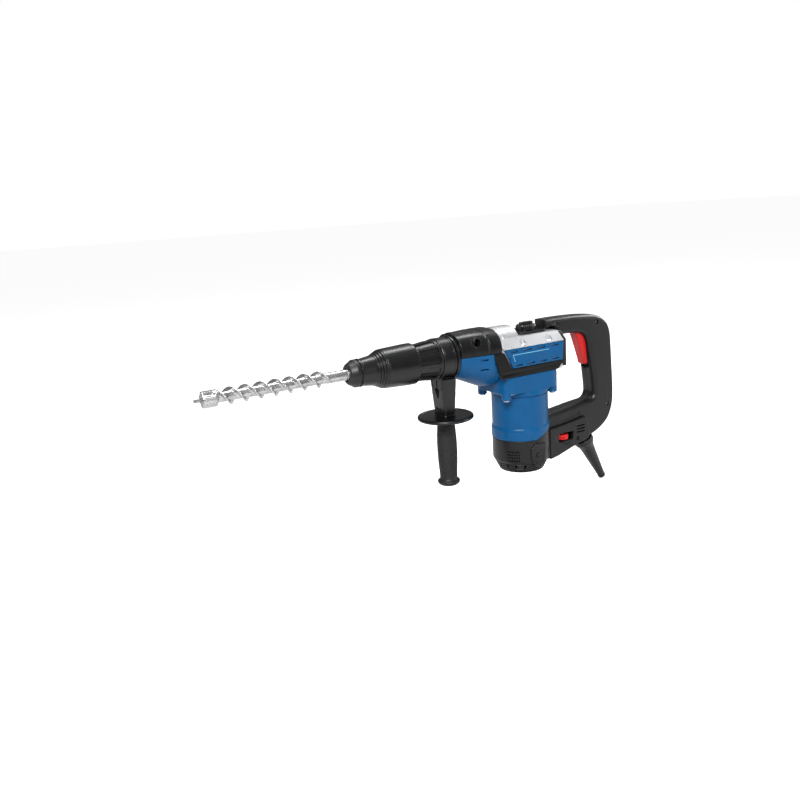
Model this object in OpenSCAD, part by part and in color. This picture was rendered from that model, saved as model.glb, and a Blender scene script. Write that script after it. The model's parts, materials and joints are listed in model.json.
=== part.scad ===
// Corded SDS-max rotary hammer: L-shaped, upright motor, D-handle, side handle on a clamp band.
// Frame: origin at the centre of the motor end cap's flat base. +X points to the rear handle,
// the tool bit points to -X, +Z is up. The hammer axis runs along X at height axis_z.

/* [Overall] */
// Height of the hammer axis above the base of the motor end cap
axis_z = 203; // [202:1:206]
// Outer radius of the motor housing
motor_r = 45.6; // [45:0.1:46]
// Wall thickness of the plastic motor housing
motor_wall = 3.1; // [2.5:0.1:3.4]

/* [Tool bit] */
// Distance from the motor axis to the tip of the bit
tip_x = 523.5; // [500:0.5:560]
// Radius of the carbide head
head_r = 12.5; // [12:0.1:13]
// Outer radius of the spiral flute
flute_r = 11.9; // [11:0.1:12]
// Radius of the core between the flutes
core_r = 6.6; // [6:0.1:7]
// Length of one turn of the flute
flute_pitch = 42; // [36:1:50]
// Radius of the shank inside the tool holder
shank_r = 9; // [8.9:0.05:9]
// Radius of the thinner neck in front of the shank
neck_r = 7.8; // [7:0.1:8.5]

/* [Front end] */
// Distance from the motor axis to the lip of the dust cap
cap_x = 304.5; // [304:0.1:305]
// Radius of the locking sleeve at its widest
sleeve_r = 30.7; // [30.5:0.1:31]

/* [Side handle] */
// Distance from the motor axis to the axis of the side handle
side_x = 143.4; // [143:0.1:144]
// Radius of the hand guard
guard_r = 43.5; // [40:0.5:46]
// Radius of the side grip at its middle
grip_r = 14.2; // [13.5:0.1:14.6]

/* [Gear train] */
// Number of teeth on the motor pinion
pinion_teeth = 8; // [8]
// Number of teeth on the crank gear
crank_teeth = 42; // [42]
// Number of teeth on the intermediate gear
inter_teeth = 48; // [48]
// Number of teeth on the ring gear of the hammer tube
ring_teeth = 48; // [48]
// Crank throw, half of the piston stroke
throw = 14; // [13:0.5:14]
// Distance between the two eyes of the connecting rod
rod_len = 56; // [56:1:57]

/* [D-handle] */
// Half width of the handle grip
handle_half = 17; // [16:0.5:18]
// Half width of the lower arm that holds the electronics
arm_half = 22; // [21:0.5:22.5]

/* [Hidden] */
$fn = 48;

eps = 0.01;
// General gap between neighbouring pieces
gap = 0.3;
// Radial running clearance of shafts and slides
run = 0.05;

BLUE = [0.05, 0.32, 0.58];
BLACK = [0.06, 0.06, 0.07];
GREY = [0.17, 0.17, 0.18];
BROWN = [0.13, 0.1, 0.09];
STEEL = [0.72, 0.72, 0.74];
DARK_STEEL = [0.4, 0.4, 0.42];
ALLOY = [0.8, 0.81, 0.82];
RED = [0.8, 0.07, 0.08];
COPPER = [0.72, 0.42, 0.24];

// Heights of the gearbox layers
plate_z = 138;
plate_top = 146;
gear_z = 148;
gear_h = 10;
disc_top = 164;
// Crank, intermediate shaft and crown mesh
crank_module = 1;
crank_x = (pinion_teeth + crank_teeth) * crank_module / 2;
inter_x = -(pinion_teeth + inter_teeth) * crank_module / 2;
ring_mean_r = 27;
ring_module = 2 * ring_mean_r / ring_teeth;
ring_pinion_r = pinion_teeth * ring_module / 2;
ring_face_x = inter_x - ring_pinion_r;
tube_out_r = 21;
bore_r = 17;
tube_front = -150;
tube_rear = -26;
crank_pin_x = crank_x - throw;
wrist_x = crank_pin_x - rod_len;
box_front = -62;
box_rear = 56;
box_low = 163;
// Side panel and trim heights
panel_low = 177;
panel_top = 208;
side_y = 45.3;
side_hole_x = -104.6;
side_hole_z = 224.7;
guard_z = 112;

// ---------- helpers ----------

// Places children so that their Z axis runs along +X at the hammer axis, starting at x
module on_axis(x) {
  translate([x, 0, axis_z]) rotate([0, 90, 0]) children();
}

// Solid of revolution about the hammer axis: profile points are [x, radius]
module turned_x(points) {
  translate([0, 0, axis_z]) rotate([0, 90, 0]) rotate_extrude() polygon([for (p = points) [p[1], p[0]]]);
}

module rod_x(x0, x1, r) {
  on_axis(x0) cylinder(h = x1 - x0, r = r);
}

module tube_x(x0, x1, ro, ri) {
  difference() {
    rod_x(x0, x1, ro);
    rod_x(x0 - 1, x1 + 1, ri);
  }
}

module post(x, y, z0, z1, r) {
  translate([x, y, z0]) cylinder(h = z1 - z0, r = r);
}

module ring_z(x, y, z0, z1, ro, ri) {
  difference() {
    post(x, y, z0, z1, ro);
    post(x, y, z0 - 1, z1 + 1, ri);
  }
}

// Box between two corners
module block(a, b) {
  translate(a) cube(b - a);
}

// Flat rectangle with round corners, centred on c
module round_rect(c, size, r) {
  translate(c - size / 2 + [r, 0]) square([size[0] - 2 * r, size[1]]);
  translate(c - size / 2 + [0, r]) square([size[0], size[1] - 2 * r]);
  for (sx = [-1, 1], sy = [-1, 1])
    translate(c + [sx * (size[0] / 2 - r), sy * (size[1] / 2 - r)]) circle(r);
}

// Outline given in X and Z, extruded along Y from y0 to y1
module slab_y(y0, y1) {
  translate([0, y1, 0]) rotate([90, 0, 0]) linear_extrude(y1 - y0) children();
}

// Outline given in Y and Z, extruded along X from x0 to x1
module slab_x(x0, x1) {
  translate([x0, 0, 0]) rotate([90, 0, 90]) linear_extrude(x1 - x0) children();
}

// Spur gear outline with straight-flanked teeth; the first tooth is at angle start
module gear_2d(teeth, module_size, start, fill = 0.40) {
  root = teeth * module_size / 2 - 1.2 * module_size;
  tip = teeth * module_size / 2 + 0.9 * module_size;
  step = 360 / teeth;
  polygon([for (i = [0 : teeth - 1], c = [[root, -0.62], [tip, -0.24], [tip, 0.24], [root, 0.62]])
    let (a = start + i * step + c[1] * fill * step)
    [c[0] * cos(a), c[0] * sin(a)]]);
}

// Points of a helix around Z
function helix(r, pitch, turns, n) =
  [for (i = [0 : turns * n]) [r * cos(360 * i / n), r * sin(360 * i / n), pitch * i / n]];

// Round wire along a helix around Z
module coil(r, wire_r, pitch, turns, n = 20, sides = 8) {
  path = helix(r, pitch, turns, n);
  last = len(path) - 1;
  points = [for (i = [0 : last], k = [0 : sides - 1])
    let (a = 360 * i / n, b = 360 * k / sides)
    [(r + wire_r * cos(b)) * cos(a), (r + wire_r * cos(b)) * sin(a), path[i][2] + wire_r * sin(b)]];
  side_faces = [for (i = [0 : last - 1], k = [0 : sides - 1])
    let (m = (k + 1) % sides)
    [i * sides + k, i * sides + m, (i + 1) * sides + m, (i + 1) * sides + k]];
  first_cap = [[for (k = [sides - 1 : -1 : 0]) k]];
  last_cap = [[for (k = [0 : sides - 1]) last * sides + k]];
  polyhedron(points, concat(side_faces, first_cap, last_cap));
}

// ---------- tool bit ----------

flute_x0 = -tip_x + 29;
flute_x1 = -331;
shank_front = -300;
shank_rear = -214;
// Radius of the holder's front end that carries the dust cap, and of its middle
cap_seat_r = 16;
holder_r = 19;
// Front end and half width of the locking bars
bar_x = -250;
bar_half = 2.8;
// Rise of the bars for each millimetre the sleeve is pulled back
bar_rise = 0.17;

module flute_section() {
  // Two spiral lands on a round core
  circle(core_r, $fn = 14);
  for (s = [0, 180])
    rotate(s) polygon([[0, -3.2], [flute_r - 0.6, -1.5], [flute_r, 0], [flute_r - 0.6, 1.5], [0, 3.2]]);
}

module drill_bit() {
  color(STEEL) difference() {
    union() {
      on_axis(flute_x0) linear_extrude(flute_x1 - flute_x0, twist = -360 * (flute_x1 - flute_x0) / flute_pitch,
        slices = 52) flute_section();
      rod_x(flute_x0 - 18, flute_x0 + eps, head_r - 1.2);
      turned_x([[flute_x1 - 4, 0], [flute_x1 - 4, core_r - 1], [flute_x1 + 3, neck_r], [shank_front - 6, neck_r],
        [shank_front, shank_r], [shank_rear - 2, shank_r], [shank_rear, shank_r - 2], [shank_rear, 0]]);
    }
    // Closed grooves that the locking bars run in
    for (s = [-1, 1]) block([bar_x - 2, -3.2, axis_z + s * 8.2 - 1.5], [bar_x + 34, 3.2, axis_z + s * 8.2 + 1.5]);
    // Spoil grooves of the head and slots for the carbide
    for (a = [0 : 90 : 270])
      translate([flute_x0 - 19, 0, axis_z]) rotate([a + 45, 0, 0]) block([0, 9, -4], [16, 20, 4]);
    for (a = [0, 90]) translate([flute_x0 - 19, 0, axis_z]) rotate([a, 0, 0])
      block([-1, -head_r - 1, -1.7], [10, head_r + 1, 1.7]);
  }
}

module carbide_tips() {
  // Crossed plates with a roof-shaped point
  color(DARK_STEEL) translate([-tip_x, 0, axis_z]) for (a = [0, 90]) rotate([a, 0, 0])
    intersection() {
      block([0, -head_r, -1.6], [20, head_r, 1.6]);
      rotate([90, 0, 0]) linear_extrude(4, center = true) polygon([[0, -20], [0, 20], [20, 20], [20, -20]]);
      translate([0, 0, -2]) linear_extrude(4)
        polygon([[0, 0], [6.5, -head_r], [19.9, -head_r], [19.9, head_r], [6.5, head_r]]);
    }
}

// ---------- spindle, holder and locking sleeve ----------

module tool_holder() {
  color(DARK_STEEL) difference() {
    turned_x([[-302, shank_r + run], [-302, 15.5], [-301, cap_seat_r], [-288, cap_seat_r], [-288, holder_r],
      [-214, holder_r], [-214, 23.4], [-211, 23.4], [-211, tube_out_r], [tube_front, tube_out_r],
      [tube_front, 15.5], [-205, 15.5], [-205, shank_r + run]]);
    // Windows for the locking bars
    for (s = [-1, 1])
      block([bar_x - run, -bar_half - run, axis_z + s * 14 - 6.5],
        [bar_x + 12 + run, bar_half + run, axis_z + s * 14 + 6.5]);
  }
}

// Flat bar that drops into a closed groove of the shank, on side s; its top follows the sleeve's cone
module locking_bar(s) {
  color(STEEL) slab_y(-bar_half, bar_half)
    polygon([[bar_x, axis_z + s * 7.4], [bar_x + 12, axis_z + s * 7.4], [bar_x + 12, axis_z + s * 18.6],
      [bar_x, axis_z + s * (18.6 + 12 * bar_rise)]]);
}

module upper_locking_bar() {
  locking_bar(1);
}

module lower_locking_bar() {
  locking_bar(-1);
}

module dust_cap() {
  color(BLACK) turned_x([[-cap_x, shank_r + 0.4], [-cap_x, 14], [-cap_x + 1.5, 15.6], [-296, 18.6], [-293.5, 20.2],
    [-290.5, 20.2], [-289.5, 19], [-288.4, 19], [-288.4, cap_seat_r], [-300.9, cap_seat_r], [-302, 15.5],
    [-302, shank_r + 0.4]]);
}

module sleeve_spring() {
  color(STEEL) on_axis(-223.5) coil(21.4, 1, 2.1, 4);
}

module locking_sleeve() {
  rib = [for (i = [0 : 3]) let (x = -264 + 3.6 * i, r = 22.4 + 1.75 * i)
    each [[x, r], [x + 1.8, r + 0.6], [x + 2.4, r - 0.5]]];
  outer = concat([[-288, 19.6], [-286, 19.9]], rib, [[-249.5, 28.4], [-247, 29], [-209, sleeve_r], [-202, sleeve_r],
    [-198, 29.5]]);
  inner = [[-198, 28.7], [-222.5, 28.7], [-222.5, 25.2], [-236, 25.2], [-236, 19.4],
    [bar_x + 12, 19.4], [bar_x - 10.5, 19.4 + 22.5 * bar_rise], [bar_x - 12, 19.4], [-288, 19.4]];
  color(BLACK) turned_x(concat(outer, inner));
}

module hammer_tube() {
  color(STEEL) tube_x(tube_front, tube_rear, tube_out_r, bore_r);
}

module ring_gear() {
  // Crown gear: teeth face the rear, in mesh with the pinion below the tube
  tooth_root_x = ring_face_x - 1.3;
  inner = ring_mean_r - 3;
  outer = ring_mean_r + 2.4;
  color(DARK_STEEL) {
    tube_x(ring_face_x - 7, tooth_root_x, ring_mean_r + 2.6, tube_out_r);
    on_axis(tooth_root_x - eps) linear_extrude(2.2)
      for (i = [0 : ring_teeth - 1])
        rotate((i + 0.5) * 360 / ring_teeth)
        polygon([[inner, -0.55], [outer, -0.75], [outer, 0.75], [inner, 0.55]]);
  }
}

// ---------- striking mechanism ----------

module impact_bolt() {
  color(STEEL) turned_x([[-201, 0], [-201, 8], [-200, shank_r], [-182, shank_r], [-182, 13], [-180, 15.4],
    [-169, 15.4], [-167, 11], [-147, 10], [-146, 9], [-146, 0]]);
}

module striker() {
  color(STEEL) turned_x([[-118, 0], [-118, 14], [-116, 15], [-108, bore_r - run], [-79, bore_r - run], [-78, 16],
    [-78, 0]]);
}

module piston() {
  color(ALLOY) difference() {
    turned_x([[wrist_x - 17, 0], [wrist_x - 17, 16.4], [wrist_x - 16.4, bore_r - run], [wrist_x - 14, bore_r - run],
      [wrist_x - 14, 15.2], [wrist_x - 11.4, 15.2], [wrist_x - 11.4, bore_r - run], [wrist_x + 9, bore_r - run],
      [wrist_x + 9, 13.4], [wrist_x - 9, 13.4], [wrist_x - 9, 0]]);
    post(wrist_x, 0, axis_z - 20, axis_z + 20, 4);
  }
}

module piston_seal() {
  color(BLACK) translate([wrist_x - 12.7, 0, axis_z]) rotate([0, 90, 0])
    rotate_extrude() translate([15.2 + 0.9, 0]) circle(0.85);
}

module wrist_pin() {
  color(STEEL) post(wrist_x, 0, axis_z - 15.5, axis_z + 15.5, 4);
}

module con_rod() {
  color(ALLOY) difference() {
    union() {
      post(wrist_x, 0, axis_z - 5, axis_z + 5, 7.5);
      post(crank_pin_x, 0, axis_z - 6, axis_z + 6, 9);
      block([wrist_x, -4.5, axis_z - 4], [crank_pin_x, 4.5, axis_z + 4]);
    }
    post(wrist_x, 0, axis_z - 10, axis_z + 10, 4 + run);
    post(crank_pin_x, 0, axis_z - 10, axis_z + 10, 4);
    for (s = [-1, 1])
      block([wrist_x + 11, -2.8, axis_z + s * 3.5 - 1.5], [crank_pin_x - 12, 2.8, axis_z + s * 3.5 + 1.5]);
  }
}

module crank_pin() {
  color(STEEL) post(crank_pin_x, 0, disc_top + gap + 0.1, axis_z + 6.4, 4);
}

module crank_gear() {
  color(DARK_STEEL) difference() {
    union() {
      translate([crank_x, 0, gear_z]) linear_extrude(gear_h)
        gear_2d(crank_teeth, crank_module, 180 / crank_teeth);
      post(crank_x, 0, gear_z + gear_h - eps, disc_top, 20);
      post(crank_x, 0, plate_z + 1, gear_z + eps, 5);
    }
    // Seat of the crank pin
    post(crank_pin_x, 0, disc_top - 3, disc_top + 1, 4.4);
  }
}

module bearing(x, y, z0, z1, ro, ri) {
  ring_z(x, y, z0, z1, ro, (ro + ri) / 2 + 1.3);
  ring_z(x, y, z0, z1, (ro + ri) / 2 - 1.3, ri);
  balls = 9;
  ball_r = 1.1;
  for (i = [0 : balls - 1])
    translate([x + (ro + ri) / 2 * cos(360 * i / balls), y + (ro + ri) / 2 * sin(360 * i / balls), (z0 + z1) / 2])
      sphere(ball_r, $fn = 16);
}

module pinion_shaft() {
  color(STEEL) {
    post(inter_x, 0, plate_z + 1, axis_z - ring_mean_r - 5, 4);
    translate([inter_x, 0, axis_z - ring_mean_r - 5]) linear_extrude(8.6)
      gear_2d(pinion_teeth, ring_module, 0, 0.36);
  }
}

module intermediate_gear() {
  color(DARK_STEEL) difference() {
    union() {
      translate([inter_x, 0, gear_z]) linear_extrude(gear_h)
        gear_2d(inter_teeth, crank_module, 180 / inter_teeth);
      post(inter_x, 0, gear_z + gear_h - eps, gear_z + gear_h + 5, 9);
    }
    post(inter_x, 0, 0, 300, 4);
  }
}

// ---------- motor ----------

module armature_shaft() {
  color(STEEL) {
    post(0, 0, 12, 90, 4);
    post(0, 0, 90, gear_z - 1, 4.5);
    translate([0, 0, gear_z - 1]) linear_extrude(gear_h + 2) gear_2d(pinion_teeth, crank_module, 0);
  }
}

module armature_core() {
  // Laminated stack with winding slots and end windings
  color(COPPER) difference() {
    union() {
      post(0, 0, 56, 104, 22);
      post(0, 0, 48, 112, 17);
    }
    post(0, 0, 0, 89.99, 4);
    post(0, 0, 80, 200, 4.5);
    for (i = [0 : 11]) rotate(i * 30) block([18.6, -1.2, 55], [23, 1.2, 105]);
  }
}

module commutator() {
  color(COPPER) difference() {
    post(0, 0, 24, 46, 14);
    post(0, 0, 0, 60, 4);
    for (i = [0 : 23]) rotate(i * 15) block([13.1, -0.3, 23], [15, 0.3, 44]);
  }
}

module cooling_fan() {
  color(GREY) difference() {
    union() {
      post(0, 0, 116, 118, 38);
      post(0, 0, 116, 128, 9);
      for (i = [0 : 11]) rotate(i * 30) block([8, -1, 117], [37, 1, 127]);
    }
    post(0, 0, 80, 200, 4.5);
  }
}

module shaft_bearings() {
  color(STEEL) {
    bearing(crank_x, 0, plate_z + 1, plate_top, 11, 5 + run);
    bearing(inter_x, 0, plate_z + 1, plate_top, 10, 4 + run);
    bearing(0, 0, plate_z + 0.5, plate_top, 12, 4.5 + run);
    bearing(0, 0, 12, 19, 11, 4 + run);
  }
}

module stator_core() {
  color(DARK_STEEL) difference() {
    ring_z(0, 0, 56, 104, 38, 22.8);
    for (s = [-1, 1]) for (t = [-1, 1])
      block([s * 19 - 5, t * 27 - 8, 50], [s * 19 + 5, t * 27 + 8, 110]);
  }
}

module field_coils() {
  // Two copper windings that stand out above and below the stator
  color(COPPER) for (s = [-1, 1], z = [[49, 55.7], [104.3, 111]])
    intersection() {
      ring_z(0, 0, z[0], z[1], 36, 24);
      block([s * 20 - 18, -34, 0], [s * 20 + 18, 34, 200]);
    }
}

module brush_holders() {
  color([0.75, 0.6, 0.25]) for (s = [-1, 1]) difference() {
    block([-6, min(s * 16, s * 41), 27], [6, max(s * 16, s * 41), 40]);
    block([-3.6, min(s * 14, s * 39), 30.4], [3.6, max(s * 14, s * 39), 36.6]);
  }
}

module carbon_brushes() {
  // Each brush is a carbon block with its pressure spring behind it
  color([0.2, 0.2, 0.2]) for (s = [-1, 1]) {
    block([-3.4, min(s * 14.1, s * 28), 30.6], [3.4, max(s * 14.1, s * 28), 36.4]);
    translate([0, s * 28.6, 33.5]) rotate([s * -90, 0, 0]) coil(2.2, 0.35, 1.6, 6, 16, 6);
  }
}

// ---------- housings ----------

// Space below the slanted seam between end cap and motor housing
module cap_space(lift) {
  slab_y(-70, 70) polygon([[-70, -5], [-70, 55 + lift], [-5, 55 + lift], [46, 72 + lift], [70, 80 + lift], [70, -5]]);
}

module vent_slots() {
  // Grid of short slots on both sides and a row of tall slots at the rear flanks
  for (m = [0, 1]) mirror([0, m, 0]) {
    for (c = [0 : 5], r = [0 : 3])
      rotate(205 + c * 4.6) block([38, -1.1, 21.5 + r * 4.6], [50, 1.1, 24 + r * 4.6]);
    for (r = [0 : 3]) rotate(304) block([38, -3.2, 22 + r * 4.6], [50, 3.2, 24.4 + r * 4.6]);
  }
}

module motor_end_cap() {
  color(GREY) difference() {
    intersection() {
      rotate_extrude() polygon([[0, 0], [36, 0], [46, 19], [46.2, 80], [43, 80], [43, 20], [33.5, 3.5], [14, 3.5],
        [14, 18], [11.2, 18], [11.2, 12], [7, 12], [7, 3.5], [0, 3.5]]);
      cap_space(0);
    }
    vent_slots();
    // Openings for the brush covers
    for (s = [-1, 1]) brush_outline(s, 0.25, 38, 60);
    // Ring of air slots around the lower edge
    for (i = [0 : 17]) if (i % 9 != 4) rotate(i * 20) block([30, -1.5, 8], [50, 1.5, 14]);
  }
}

// Pentagonal prism of a brush cover, grown by g, from radius y0 to y1 on side s
module brush_outline(s, g, y0, y1) {
  slab_y(min(s * y0, s * y1), max(s * y0, s * y1))
    polygon([[-13 - g, 24 - g], [-8 - g, 14 - g], [12 + g, 14 - g], [14 + g, 46 + g], [-6 - g, 50 + g],
      [-15 - g, 40 + g]]);
}

module brush_covers() {
  color(GREY) for (s = [-1, 1]) difference() {
    intersection() {
      brush_outline(s, 0, 41.5, 60);
      difference() {
        post(0, 0, 5, 60, 45.4);
        post(0, 0, 4, 61, 43.2);
      }
    }
    slab_y(min(s * 30, s * 60), max(s * 30, s * 60)) translate([0, 33.5]) circle(1.5);
  }
}

// Rounded block of the motor housing's upper flange, grown by g
module flange_block(z0, z1, g) {
  translate([0, 0, z0]) linear_extrude(z1 - z0) round_rect([-4, 0], [112 + 2 * g, 90 + 2 * g], 22 + g);
}

boss_spots = [[-50, -32], [-50, 32], [40, -34], [40, 34]];

module motor_housing() {
  color(BLUE) difference() {
    union() {
      difference() {
        union() {
          rotate_extrude() polygon([[motor_r, 50], [motor_r + 1.6, 52], [motor_r + 1.6, 74], [motor_r, 80],
            [motor_r, 134], [30, 134], [30, 50]]);
          flange_block(130, box_low - gap, 0);
        }
        // Hollow for the motor, the fan and the gears
        post(0, 0, 40, 134.5, motor_r - motor_wall);
        flange_block(134, 170, -4);
      }
      for (p = boss_spots) post(p[0], p[1], 126, 158, 7.5);
    }
    cap_space(gap);
    for (p = boss_spots) post(p[0], p[1], 120, 157, 2.6);
    // Flat label field on each side
    for (s = [-1, 1]) block([-19, s * 47 - 2, 72], [21, s * 47 + 2, 128]);
    // Slots above the fan
    for (i = [0 : 5]) rotate(-22 + i * 9) block([30, -1.2, 112], [60, 1.2, 124]);
  }
}

module bearing_plate() {
  color(ALLOY) difference() {
    translate([0, 0, plate_z - 3]) linear_extrude(plate_top - plate_z + 3)
      round_rect([-4, 0], [103.6, 81.6], 17.6);
    post(0, 0, plate_z + 0.4, 200, 12 + 0.02);
    post(0, 0, 0, 200, 8);
    post(crank_x, 0, plate_z + 0.9, 200, 11 + 0.02);
    post(inter_x, 0, plate_z + 0.9, 200, 10 + 0.02);
    for (p = boss_spots) post(p[0], p[1], 100, 200, 8);
  }
}

// Outline of the gearbox in Y and Z, inset by g
module box_outline(g) {
  polygon([[-side_y + g, box_low - 10], [-side_y + g, panel_top - g * 0.4], [-30 + g * 0.6, 222.5 - g],
    [30 - g * 0.6, 222.5 - g], [side_y - g, panel_top - g * 0.4], [side_y - g, box_low - 10]]);
}

dome_r = 34.7;
dome_end = -20;
alloy_screws = [[-20, -38.5], [31, -38.5], [-20, 38.5], [31, 38.5]];

module gearbox_housing() {
  color(ALLOY) difference() {
    union() {
      slab_x(box_front, box_rear) box_outline(0);
      rod_x(box_front, dome_end, dome_r);
      rod_x(box_front + 12, dome_end - 4, dome_r + 0.8);
    }
    slab_x(box_front - 1, box_rear - 4) box_outline(8);
    rod_x(box_front - 1, dome_end - 4, 31);
    // Way for the piston behind the hammer tube
    rod_x(dome_end - 5, -6, bore_r + 0.6);
    block([-100, -60, 0], [100, 60, box_low]);
    // Side recesses that carry the panels and the trim bands
    for (s = [-1, 1]) block([-100, s * 50 - 8.5, 100], [100, s * 50 + 8.5, panel_top + 0.01]);
    // Selector shaft bore and screw holes
    post(selector_x, 0, 200, 240, 6 + run);
    for (p = alloy_screws) {
      post(p[0], p[1], 208.6, 240, 5.6);
      post(p[0], p[1], 195, 240, 2.1);
    }
  }
}

// Arch outline in Y and Z above the cover seam: half width w and height h over the axis
module arch(w, h) {
  base = axis_z + 1.5;
  n = 0.72;
  polygon(concat([[-w, base]],
    [for (a = [180 : -9 : 0]) [(a < 90 ? 1 : -1) * w * pow(abs(cos(a)), n), base + (h - 1.5) * pow(sin(a), n)]],
    [[w, base]]));
}

module front_cover() {
  color(BLACK) difference() {
    union() {
      slab_x(-131, -121) arch(36, 35.2);
      slab_x(-121, -84) arch(40, 36);
      slab_x(-84, box_front - gap) arch(42.5, 36.5);
      slab_x(-131, -100) translate([-9, axis_z + 30]) square([18, 6.4]);
      for (s = [-1, 1]) translate([side_hole_x, s * 37.4, side_hole_z]) rotate([s * 90, 0, 0])
        cylinder(h = 14, r = 9.5);
    }
    rod_x(-132, -116, 25.3);
    rod_x(-116 - eps, -50, 30.6);
    for (s = [-1, 1]) translate([side_hole_x, s * 44, side_hole_z]) rotate([s * 90, 0, 0])
      cylinder(h = 20, r = 6);
  }
}

module nose_outline(x, w, h) {
  slab_x(x, x + 1) intersection() {
    polygon([for (a = [0 : 10 : 180]) [w * cos(a) * 1.0, axis_z + 1.2 - h * pow(sin(a), 0.85)]]);
    translate([-60, 0]) square([120, axis_z + 1.2]);
  }
}

module nose_shell() {
  // Lower half of the gearbox front, from the neck back to the motor housing
  color(BLUE) difference() {
    union() {
      hull() {
        nose_outline(-131, 34.8, 34);
        nose_outline(-98, 41, 48);
        nose_outline(-81.3, 44.5, 55);
      }
      nose_rear(0, -81, box_front - gap);
    }
    hull() {
      translate([-0.5, 0, 0]) nose_outline(-131, 31.3, 30.5);
      nose_outline(-98, 37.5, 44.5);
      nose_outline(-81, 41, 51.5);
    }
    nose_rear(3.5, -82, box_front);
    rod_x(-140, -110, 30);
    block([-150, -60, 203.9], [0, 60, 260]);
    // Step that the trim band sits on
    for (s = [-1, 1]) translate([0, s * 51.6, 0]) slab_y(-10, 10)
      polygon([[-80.4, 210], [-80.4, 203.6], [-68.4, box_low], [-50, box_low], [-50, 210]]);
    // Air slots on both flanks
    for (s = [-1, 1]) {
      block([-101, s * 42 - 9, 196], [-88, s * 42 + 9, 198]);
      block([-99, s * 42 - 9, 181], [-87, s * 42 + 9, 183.2]);
    }
  }
}

// Constant rear section of the nose, inset by g
module nose_rear(g, x0, x1) {
  slab_x(x0, x1)
    polygon([for (a = [0 : 10 : 180]) [(44.5 - g) * cos(a), axis_z + 1.2 - (55 - g) * pow(sin(a), 0.85)]]);
}

// L-shaped dark trim: an upright strip in front and a band below the side panel
module trim_band(s) {
  color(BROWN) difference() {
    slab_y(min(s * 41.8, s * side_y), max(s * 41.8, s * side_y))
      polygon([[-80, 203.8], [box_front - gap, 203.8], [box_front - gap, 208], [-59.6, 208], [-45.6, panel_low],
        [54, panel_low], [56, 175], [44, box_low + 0.2], [-68, box_low + 0.2]]);
    rod_x(-110, -50, 30.6);
  }
}

module left_trim_band() {
  trim_band(-1);
}

module right_trim_band() {
  trim_band(1);
}

// Blue ventilated side panel between the trim band and the alloy edge
module side_panel(s) {
  color(BLUE) difference() {
    slab_y(min(s * 41.8, s * (side_y + 0.6)), max(s * 41.8, s * (side_y + 0.6)))
      polygon([[-58.8, 207.7], [-45, panel_low + gap], [53.5, panel_low + gap], [55.6, 207.7]]);
    for (i = [0 : 3]) {
      block([-52 + i * 27, s * 45 - 8, 202.2], [-34 + i * 27, s * 45 + 8, 204.4]);
      block([-42 + i * 24, s * 45 - 8, 179.6], [-26 + i * 24, s * 45 + 8, 181.8]);
    }
    for (p = alloy_screws) post(p[0], p[1], 190, 240, 5.7);
  }
}

module left_side_panel() {
  side_panel(-1);
}

module right_side_panel() {
  side_panel(1);
}

module neck_sleeve() {
  // Ribbed fixed neck: barrel with shallow panels, clamp groove and rear flange
  color(BLACK) difference() {
    turned_x([[-208, 22], [-208, 27.4], [-207, 27.9], [-187, 27.9], [-166, 30.4], [-162, 31], [-160.5, 31],
      [-160, 28.3], [-136, 28.3], [-136, 33.2], [-131.3, 33.2], [-131.3, 25.1], [-152, 25.1], [-152, 22]]);
    for (i = [0 : 11]) translate([0, 0, axis_z]) rotate([i * 30 + 8, 0, 0])
      translate([-184, 0, 0]) rotate([0, 6.8, 0]) block([-6, -5.6, 27.6], [18, 5.6, 33]);
  }
}

module neck_bearing() {
  color(STEEL) tube_x(-149.7, -133, 25.1 - 0.02, tube_out_r + run);
}

module rear_plate() {
  color(BLACK) difference() {
    slab_x(box_rear + 0.02, box_rear + 7)
      polygon([[-43, 166], [-43, 209], [-31, 221], [31, 221], [43, 209], [43, 166]]);
    translate([50, 0, 186]) rotate([0, 90, 0]) cylinder(h = 20, r = 11.1);
  }
}

module rear_plug() {
  // Screwed grease plug with a lobed rim
  color(BLACK) translate([box_rear + 0.02, 0, 186]) rotate([0, 90, 0]) {
    cylinder(h = 7, r = 11);
    translate([0, 0, 7 - eps]) difference() {
      cylinder(h = 8, r = 15);
      for (i = [0 : 7]) rotate(i * 45) translate([17.5, 0, -1]) cylinder(h = 12, r = 4.6);
      translate([0, 0, 6]) cylinder(h = 5, r = 6);
    }
  }
}

selector_x = 17;

module selector_plate() {
  color(BLACK) difference() {
    translate([0, 0, 222.6]) linear_extrude(3.2) round_rect([14, 0], [54, 50], 8);
    post(selector_x, 0, 200, 240, 6 + run);
    block([-20, -30, 200], [dome_end + 8.5, 30, 240]);
  }
}

module mode_selector() {
  // Round knob with a finger bar, and the eccentric shaft below it
  color(BLACK) {
    difference() {
      post(selector_x, 0, 226.2, 234.2, 16.5);
      for (i = [0 : 11]) translate([selector_x, 0, 0]) rotate(i * 30 + 15) post(19.4, 0, 225, 236, 4);
    }
    translate([selector_x, 0, 234.1]) linear_extrude(4.4) round_rect([0, 0], [28, 9], 4.4);
    post(selector_x, 0, 214, 226.3, 6);
    post(selector_x + 3.2, 0, 210.6, 214 + eps, 2.4);
  }
}

module screw(x, y, z, head_up, length, r, head_r_mm) {
  // Pan-head screw; its head bears at height z
  up = head_up ? 1 : -1;
  difference() {
    union() {
      post(x, y, min(z, z + up * 3), max(z, z + up * 3), head_r_mm);
      post(x, y, min(z, z - up * length), max(z, z - up * length), r);
    }
    post(x, y, min(z + up * 1.5, z + up * 4), max(z + up * 1.5, z + up * 4), head_r_mm * 0.45, $fn = 6);
  }
}

module housing_screws() {
  color(STEEL) {
    for (p = alloy_screws) screw(p[0], p[1], 208.7, true, 10, 2, 4.6);
    for (p = boss_spots) screw(p[0], p[1], 126, false, 30, 2.5, 5);
  }
}

// ---------- D-handle ----------

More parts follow.
